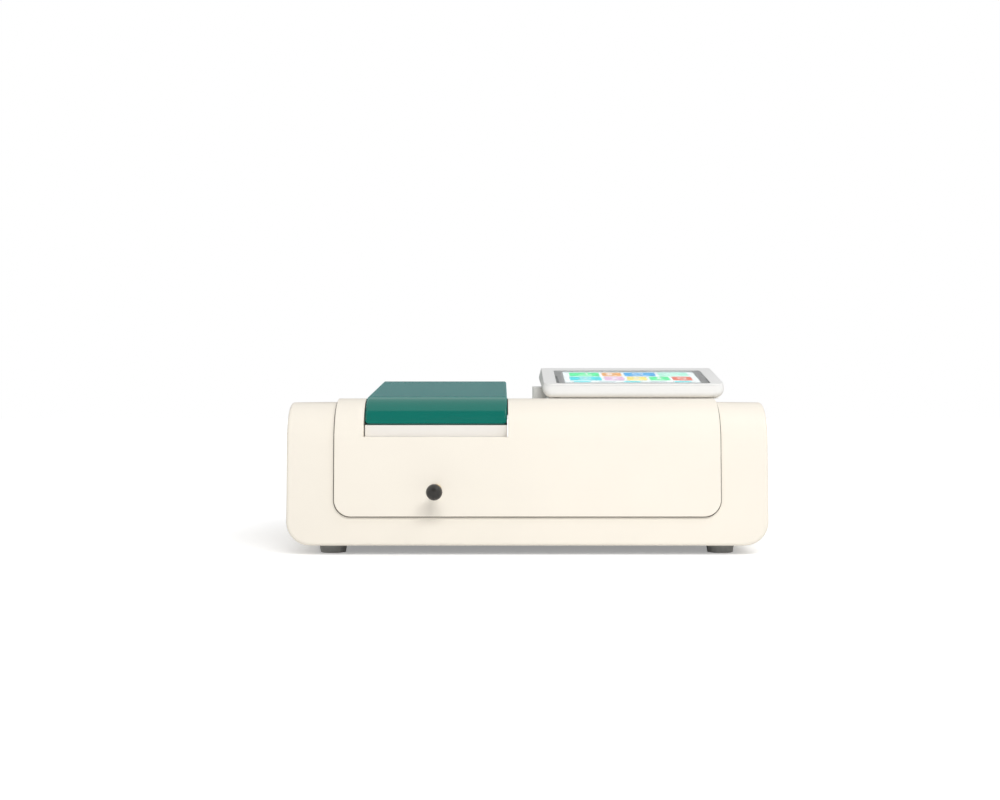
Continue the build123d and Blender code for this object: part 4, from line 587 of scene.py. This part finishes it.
def draw_signs(shape):
    upper, lower = (middle + SIGN_RAISE for middle, _ in TILE_ROWS)
    for bar, height in enumerate(BAR_HEIGHTS):
        centre = (BARS_LEFT + bar * BAR_STEP, upper + BARS_FOOT + height / 2, 0)
        plate(shape, (BAR_WIDTH, height), INK_LIFT, BAR_ROUND, centre, SLOT["white"])
    drop(shape, BIG_DROP, (SIGN_X["orange"], upper - DROP_SINK, SIGN_LIFT))
    ring(shape, *RINGS["blue"], (SIGN_X["blue"], upper, SIGN_LIFT))
    for wave in range(WAVES):
        ring(shape, *RINGS["mint"], (SIGN_X["mint"] + wave * WAVE_STEP, upper, SIGN_LIFT))
    ring(shape, *RINGS["cyan"], (SIGN_X["cyan"], lower, SIGN_LIFT))
    disc(shape, DOT_RADIUS, (SIGN_X["cyan"], lower, SIGN_LIFT))
    for index in range(SMALL_DROPS):
        drop(shape, SMALL_DROP, (SIGN_X["pink"] + index * DROP_STEP, lower - DROP_SINK, SIGN_LIFT))
    ring(shape, *RINGS["red"], (SIGN_X["red"], lower, SIGN_LIFT))


screen_signs = piece("screen_signs", draw_signs, screen_inks, "display_unit", picture_place)
print("sign faces", len(screen_signs.data.polygons))

# %% [markdown]
# Between the screen and the edge of the glass lies a printed border. It is a cool grey ink on the
# underside of the glass. A ring made by insetting one sheet gives it, just under the glass. The
# inset is as wide at the ends as at the sides, so its long sides are then moved to the screen's.

# %% Printed border
BORDER_DEPTH = 0.00005
BORDER_MARGIN = 0.001
BORDER_SIZE = (GLASS[0] - BORDER_MARGIN, GLASS[1] - BORDER_MARGIN)
border_ink = finish("printed_border_ink", (0.54, 0.56, 0.57), 0.3)
vary_rough(border_ink, noise(border_ink, 200), 0.25, 0.35)


def draw_border(shape):
    sheet(shape, *BORDER_SIZE)
    face = list(shape.faces)
    inset(shape, face, (BORDER_SIZE[0] - SCREEN[0]) / 2)
    half_length = SCREEN[1] / 2
    for vert in face[0].verts:
        vert.co.y = half_length if vert.co.y > 0 else -half_length
    bmesh.ops.delete(shape, geom=face, context="FACES_ONLY")


border_place = under_glass(BORDER_DEPTH)
printed_border = piece("printed_border", draw_border, [border_ink], "display_unit", border_place)
print("border faces", len(printed_border.data.polygons))

# %% [markdown]
# A thin dark strip lies round the raised centre cover. It is painted shadow: it stands for the
# shade in the narrow gap under the cover's edge. From in front it shows as one fine line down the
# left side, along the bottom and up the right side. To lay it we need the body's profile: a front
# that leans back by 3 degrees, an arc of 50 mm, and a flat top. The function below takes a length
# along that profile and a height above it to a place on the body.

# %% The body's profile
BODY_ARC = 0.050
BODY_TOP = 0.190
FOOT_GAP = 0.012
FRONT_LEAN = radians(3)
# Size of the dark strip that paints the shadow in the gap round the centre cover.
SHADOW_STRIP_WIDTH = 0.0012
SHADOW_STRIP_THICKNESS = 0.0012
saddle_low, saddle_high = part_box("centre_cover")
cover_low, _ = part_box("main_cover")
arc_middle_z = BODY_TOP - BODY_ARC
arc_start = arc_middle_z + BODY_ARC * sin(FRONT_LEAN)
shadow_strip_start = saddle_low.z - SHADOW_STRIP_WIDTH
straight_run = (arc_start - shadow_strip_start) / cos(FRONT_LEAN)
arc_run = BODY_ARC * (pi / 2 - FRONT_LEAN)
arc_middle_y = (cover_low.y + (arc_middle_z - FOOT_GAP) * tan(FRONT_LEAN)
                + BODY_ARC / cos(FRONT_LEAN))


def on_body(run, height):
    if run < straight_run:
        z = shadow_strip_start + run * cos(FRONT_LEAN)
        y = cover_low.y + (z - FOOT_GAP) * tan(FRONT_LEAN)
        return y - height * cos(FRONT_LEAN), z + height * sin(FRONT_LEAN)
    turn = min((run - straight_run) / BODY_ARC + FRONT_LEAN, pi / 2)
    beyond = max(0, run - straight_run - arc_run)
    reach = BODY_ARC + height
    return arc_middle_y - reach * cos(turn) + beyond, arc_middle_z + reach * sin(turn)


print("straight front", round(straight_run, 4), "arc", round(arc_run, 4))

# %% [markdown]
# We draw the dark strip flat, as a rounded frame little more than a millimetre wide and open at
# the rear. Then we cut it across into short lengths, so that it can bend, and wrap it over the
# body round the centre cover's edge, where it paints the shadow of the gap.

# %% Painted shadow strip round the centre cover
SADDLE_CORNER = 0.0215
CORNER_SEGMENTS = 10
CUT_STEP = 0.006


def draw_shadow_strip(shape):
    width = saddle_high.x - saddle_low.x + 2 * SHADOW_STRIP_WIDTH
    length = straight_run + arc_run + saddle_high.y - arc_middle_y
    bmesh.ops.translate(shape, vec=(0, length / 2, 0), verts=sheet(shape, width, length))
    front_corners = [v for v in shape.verts if v.co.y < length / 2]
    round_corners(shape, front_corners, SADDLE_CORNER, CORNER_SEGMENTS)
    face = list(shape.faces)
    inset(shape, face, SHADOW_STRIP_WIDTH)
    bmesh.ops.delete(shape, geom=face, context="FACES")
    rear_side = [f for f in shape.faces if f.calc_center_median().y > length - 2 * SHADOW_STRIP_WIDTH]
    bmesh.ops.delete(shape, geom=rear_side, context="FACES")
    for cut in range(int(length / CUT_STEP)):
        bmesh.ops.bisect_plane(shape, geom=shape.verts[:] + shape.edges[:] + shape.faces[:],
                               plane_co=(0, cut * CUT_STEP, 0), plane_no=(0, 1, 0))
    thicken(shape, shape.faces[:], SHADOW_STRIP_THICKNESS)
    middle_x = (saddle_low.x + saddle_high.x) / 2
    for vert in shape.verts:
        vert.co = (middle_x + vert.co.x, *on_body(vert.co.y, vert.co.z))
    bmesh.ops.recalc_face_normals(shape, faces=shape.faces)


# A dark finish for the strip. It is painted shadow, not a real gasket.
shadow_strip_finish = rubber("painted_shadow_strip", (0.055, 0.040, 0.027), 0.7)
cover_shadow_strip = piece("cover_shadow_strip", draw_shadow_strip, [shadow_strip_finish], "instrument")
print("gasket faces", len(cover_shadow_strip.data.polygons))

# %% [markdown]
# The stage: a pale floor that runs back without a horizon. In the photograph the desk is pure
# white with only a soft shadow round the feet. The floor is a diffuse white that also gives the
# camera some light of its own: little round the instrument, so that its shadow stays, and more
# further out, where the lamps no longer reach. The length of the Object coordinates measures
# how far a point lies from the middle, and Light Path keeps this glow off the instrument.

# %% Floor finish
GLOW_FROM = 0.30
GLOW_UP_TO = 1.10
NEAR_GLOW = 0.30
FAR_GLOW = 0.74
paper_floor = finish("white_floor", (0.95, 0.95, 0.95), 0.9, specular=0.0)
set_sockets(shader_of(paper_floor), {"Emission Color": (1, 1, 1, 1)})
floor_tree = paper_floor.node_tree
floor_place = floor_tree.nodes.new("ShaderNodeTexCoord")
distance = floor_tree.nodes.new("ShaderNodeVectorMath")
distance.operation = "LENGTH"
outwards = floor_tree.nodes.new("ShaderNodeMapRange")
set_sockets(outwards, {
    "From Min": GLOW_FROM,
    "From Max": GLOW_UP_TO,
    "To Min": NEAR_GLOW,
    "To Max": FAR_GLOW,
})
seen = floor_tree.nodes.new("ShaderNodeLightPath")
glow = floor_tree.nodes.new("ShaderNodeMath")
glow.operation = "MULTIPLY"
floor_tree.links.new(floor_place.outputs["Object"], distance.inputs[0])
floor_tree.links.new(distance.outputs["Value"], outwards.inputs["Value"])
floor_tree.links.new(seen.outputs["Is Camera Ray"], glow.inputs[0])
floor_tree.links.new(outwards.outputs["Result"], glow.inputs[1])
floor_tree.links.new(glow.outputs["Value"], shader_of(paper_floor).inputs["Emission Strength"])
print("floor finish", paper_floor.name)

# %% [markdown]
# The floor and the cards of the next cells are single faces.

# %% Floor
FLOOR_SIZE = 24


def card(name, material, place):
    mesh = bpy.data.meshes.new(name)
    shape = bmesh.new()
    sheet(shape, 1, 1)
    shape.transform(place)
    shape.to_mesh(mesh)
    shape.free()
    mesh.materials.append(material)
    holder = bpy.data.objects.new(name, mesh)
    scene.collection.objects.link(holder)
    return holder


floor = card("floor", paper_floor, Matrix.Diagonal((FLOOR_SIZE, FLOOR_SIZE, 1, 1)))
print("floor", floor.name)

# %% [markdown]
# The world is white to the camera, in reflections and through glass, and gives a plainer grey
# light to the object. Light Path tells them apart: its outputs are 0 or 1, so their maximum says
# whether any of the three holds. This keeps the background pure white without washing out
# the cream covers.

# %% World
WORLD_GREY = 0.50
WORLD_WHITE = 1.0
world = bpy.data.worlds.new("studio")
scene.world = world
world.use_nodes = True
world_tree = world.node_tree
background = world_tree.nodes["Background"]
path = world_tree.nodes.new("ShaderNodeLightPath")
level = world_tree.nodes.new("ShaderNodeMapRange")
set_sockets(level, {"To Min": WORLD_GREY, "To Max": WORLD_WHITE})
bright = path.outputs["Is Camera Ray"]
for ray in ("Is Glossy Ray", "Is Transmission Ray"):
    either = world_tree.nodes.new("ShaderNodeMath")
    either.operation = "MAXIMUM"
    world_tree.links.new(bright, either.inputs[0])
    world_tree.links.new(path.outputs[ray], either.inputs[1])
    bright = either.outputs["Value"]
world_tree.links.new(bright, level.inputs["Value"])
world_tree.links.new(level.outputs["Result"], background.inputs["Strength"])
set_sockets(background, {"Color": (1, 1, 1, 1)})
print("world", world.name)

# %% [markdown]
# A photographer keeps polished plastic from going white with flags: dark cards that show only
# as reflections. One stands behind the instrument for its top, one hangs in front, above
# the camera, for the rounded front of the lid. Ray visibility hides them from the camera and
# from the soft light, so that they shade nothing.

# %% Flags for the reflections
flag_paint = finish("flag_grey", (0.30, 0.30, 0.30), 0.9, specular=0.0)
vary_rough(flag_paint, noise(flag_paint, 20), 0.85, 0.95)


def flag(name, place, width, height):
    upright = Matrix.Rotation(radians(90), 4, "X") @ Matrix.Diagonal((width, height, 1, 1))
    holder = card(name, flag_paint, Matrix.Translation(place) @ upright)
    holder.visible_camera = False
    holder.visible_diffuse = False
    holder.visible_shadow = False
    return holder


rear_flag = flag("rear_flag", (0, 1.7, 0.65), 3.2, 1.3)
front_flag = flag("front_flag", (0, -3.4, 4.2), 5.0, 6.0)
print("flags", rear_flag.name, front_flag.name)

# %% [markdown]
# Two soft boxes light the instrument. The key is a long, narrow strip that lies level in front of
# it, above the camera and a little to the right, so that the knob's shadow falls downwards on
# the cover. It is hidden from reflections, because the photograph's lid shows a broad soft
# gradient and no sharp line. The fill stands on the right, weaker and nearly square, and
# softens the shadows.

# %% Lamps
LAMP_TARGET = (0, 0, 0.1)


def softbox(name, place, size, power):
    lamp = bpy.data.lights.new(name, "AREA")
    lamp.shape = "RECTANGLE"
    lamp.size, lamp.size_y = size
    lamp.energy = power
    holder = bpy.data.objects.new(name, lamp)
    holder.location = place
    towards = Vector(LAMP_TARGET) - Vector(place)
    holder.rotation_euler = towards.to_track_quat("-Z", "Y").to_euler()
    scene.collection.objects.link(holder)
    return holder


key = softbox("key_softbox", (0.35, -2.3, 1.75), (1.5, 0.35), 34)
key.visible_glossy = False
fill = softbox("fill_softbox", (1.2, -0.9, 1.9), (1.2, 1.0), 7.5)
print("lamps", key.name, fill.name)

# %% [markdown]
# The camera looks straight along the desk at the height of the instrument's top edge. We know
# this from the photograph: the lid's sides and the screen's sides all run to one point,
# which lies at the top edge, close to the lid's right side.

# %% Camera
CAMERA_PLACE = (-0.034, -1.9146, 0.193)
LENS = 50
SENSOR_WIDTH = 36
NEAR_CLIP = 0.05
camera_data = bpy.data.cameras.new("bench_camera")
camera_data.lens = LENS
camera_data.sensor_width = SENSOR_WIDTH
camera_data.clip_start = NEAR_CLIP
camera = bpy.data.objects.new("bench_camera", camera_data)
camera.location = CAMERA_PLACE
camera.rotation_euler = (radians(90), 0, 0)
scene.collection.objects.link(camera)
scene.camera = camera
print("camera at", CAMERA_PLACE)
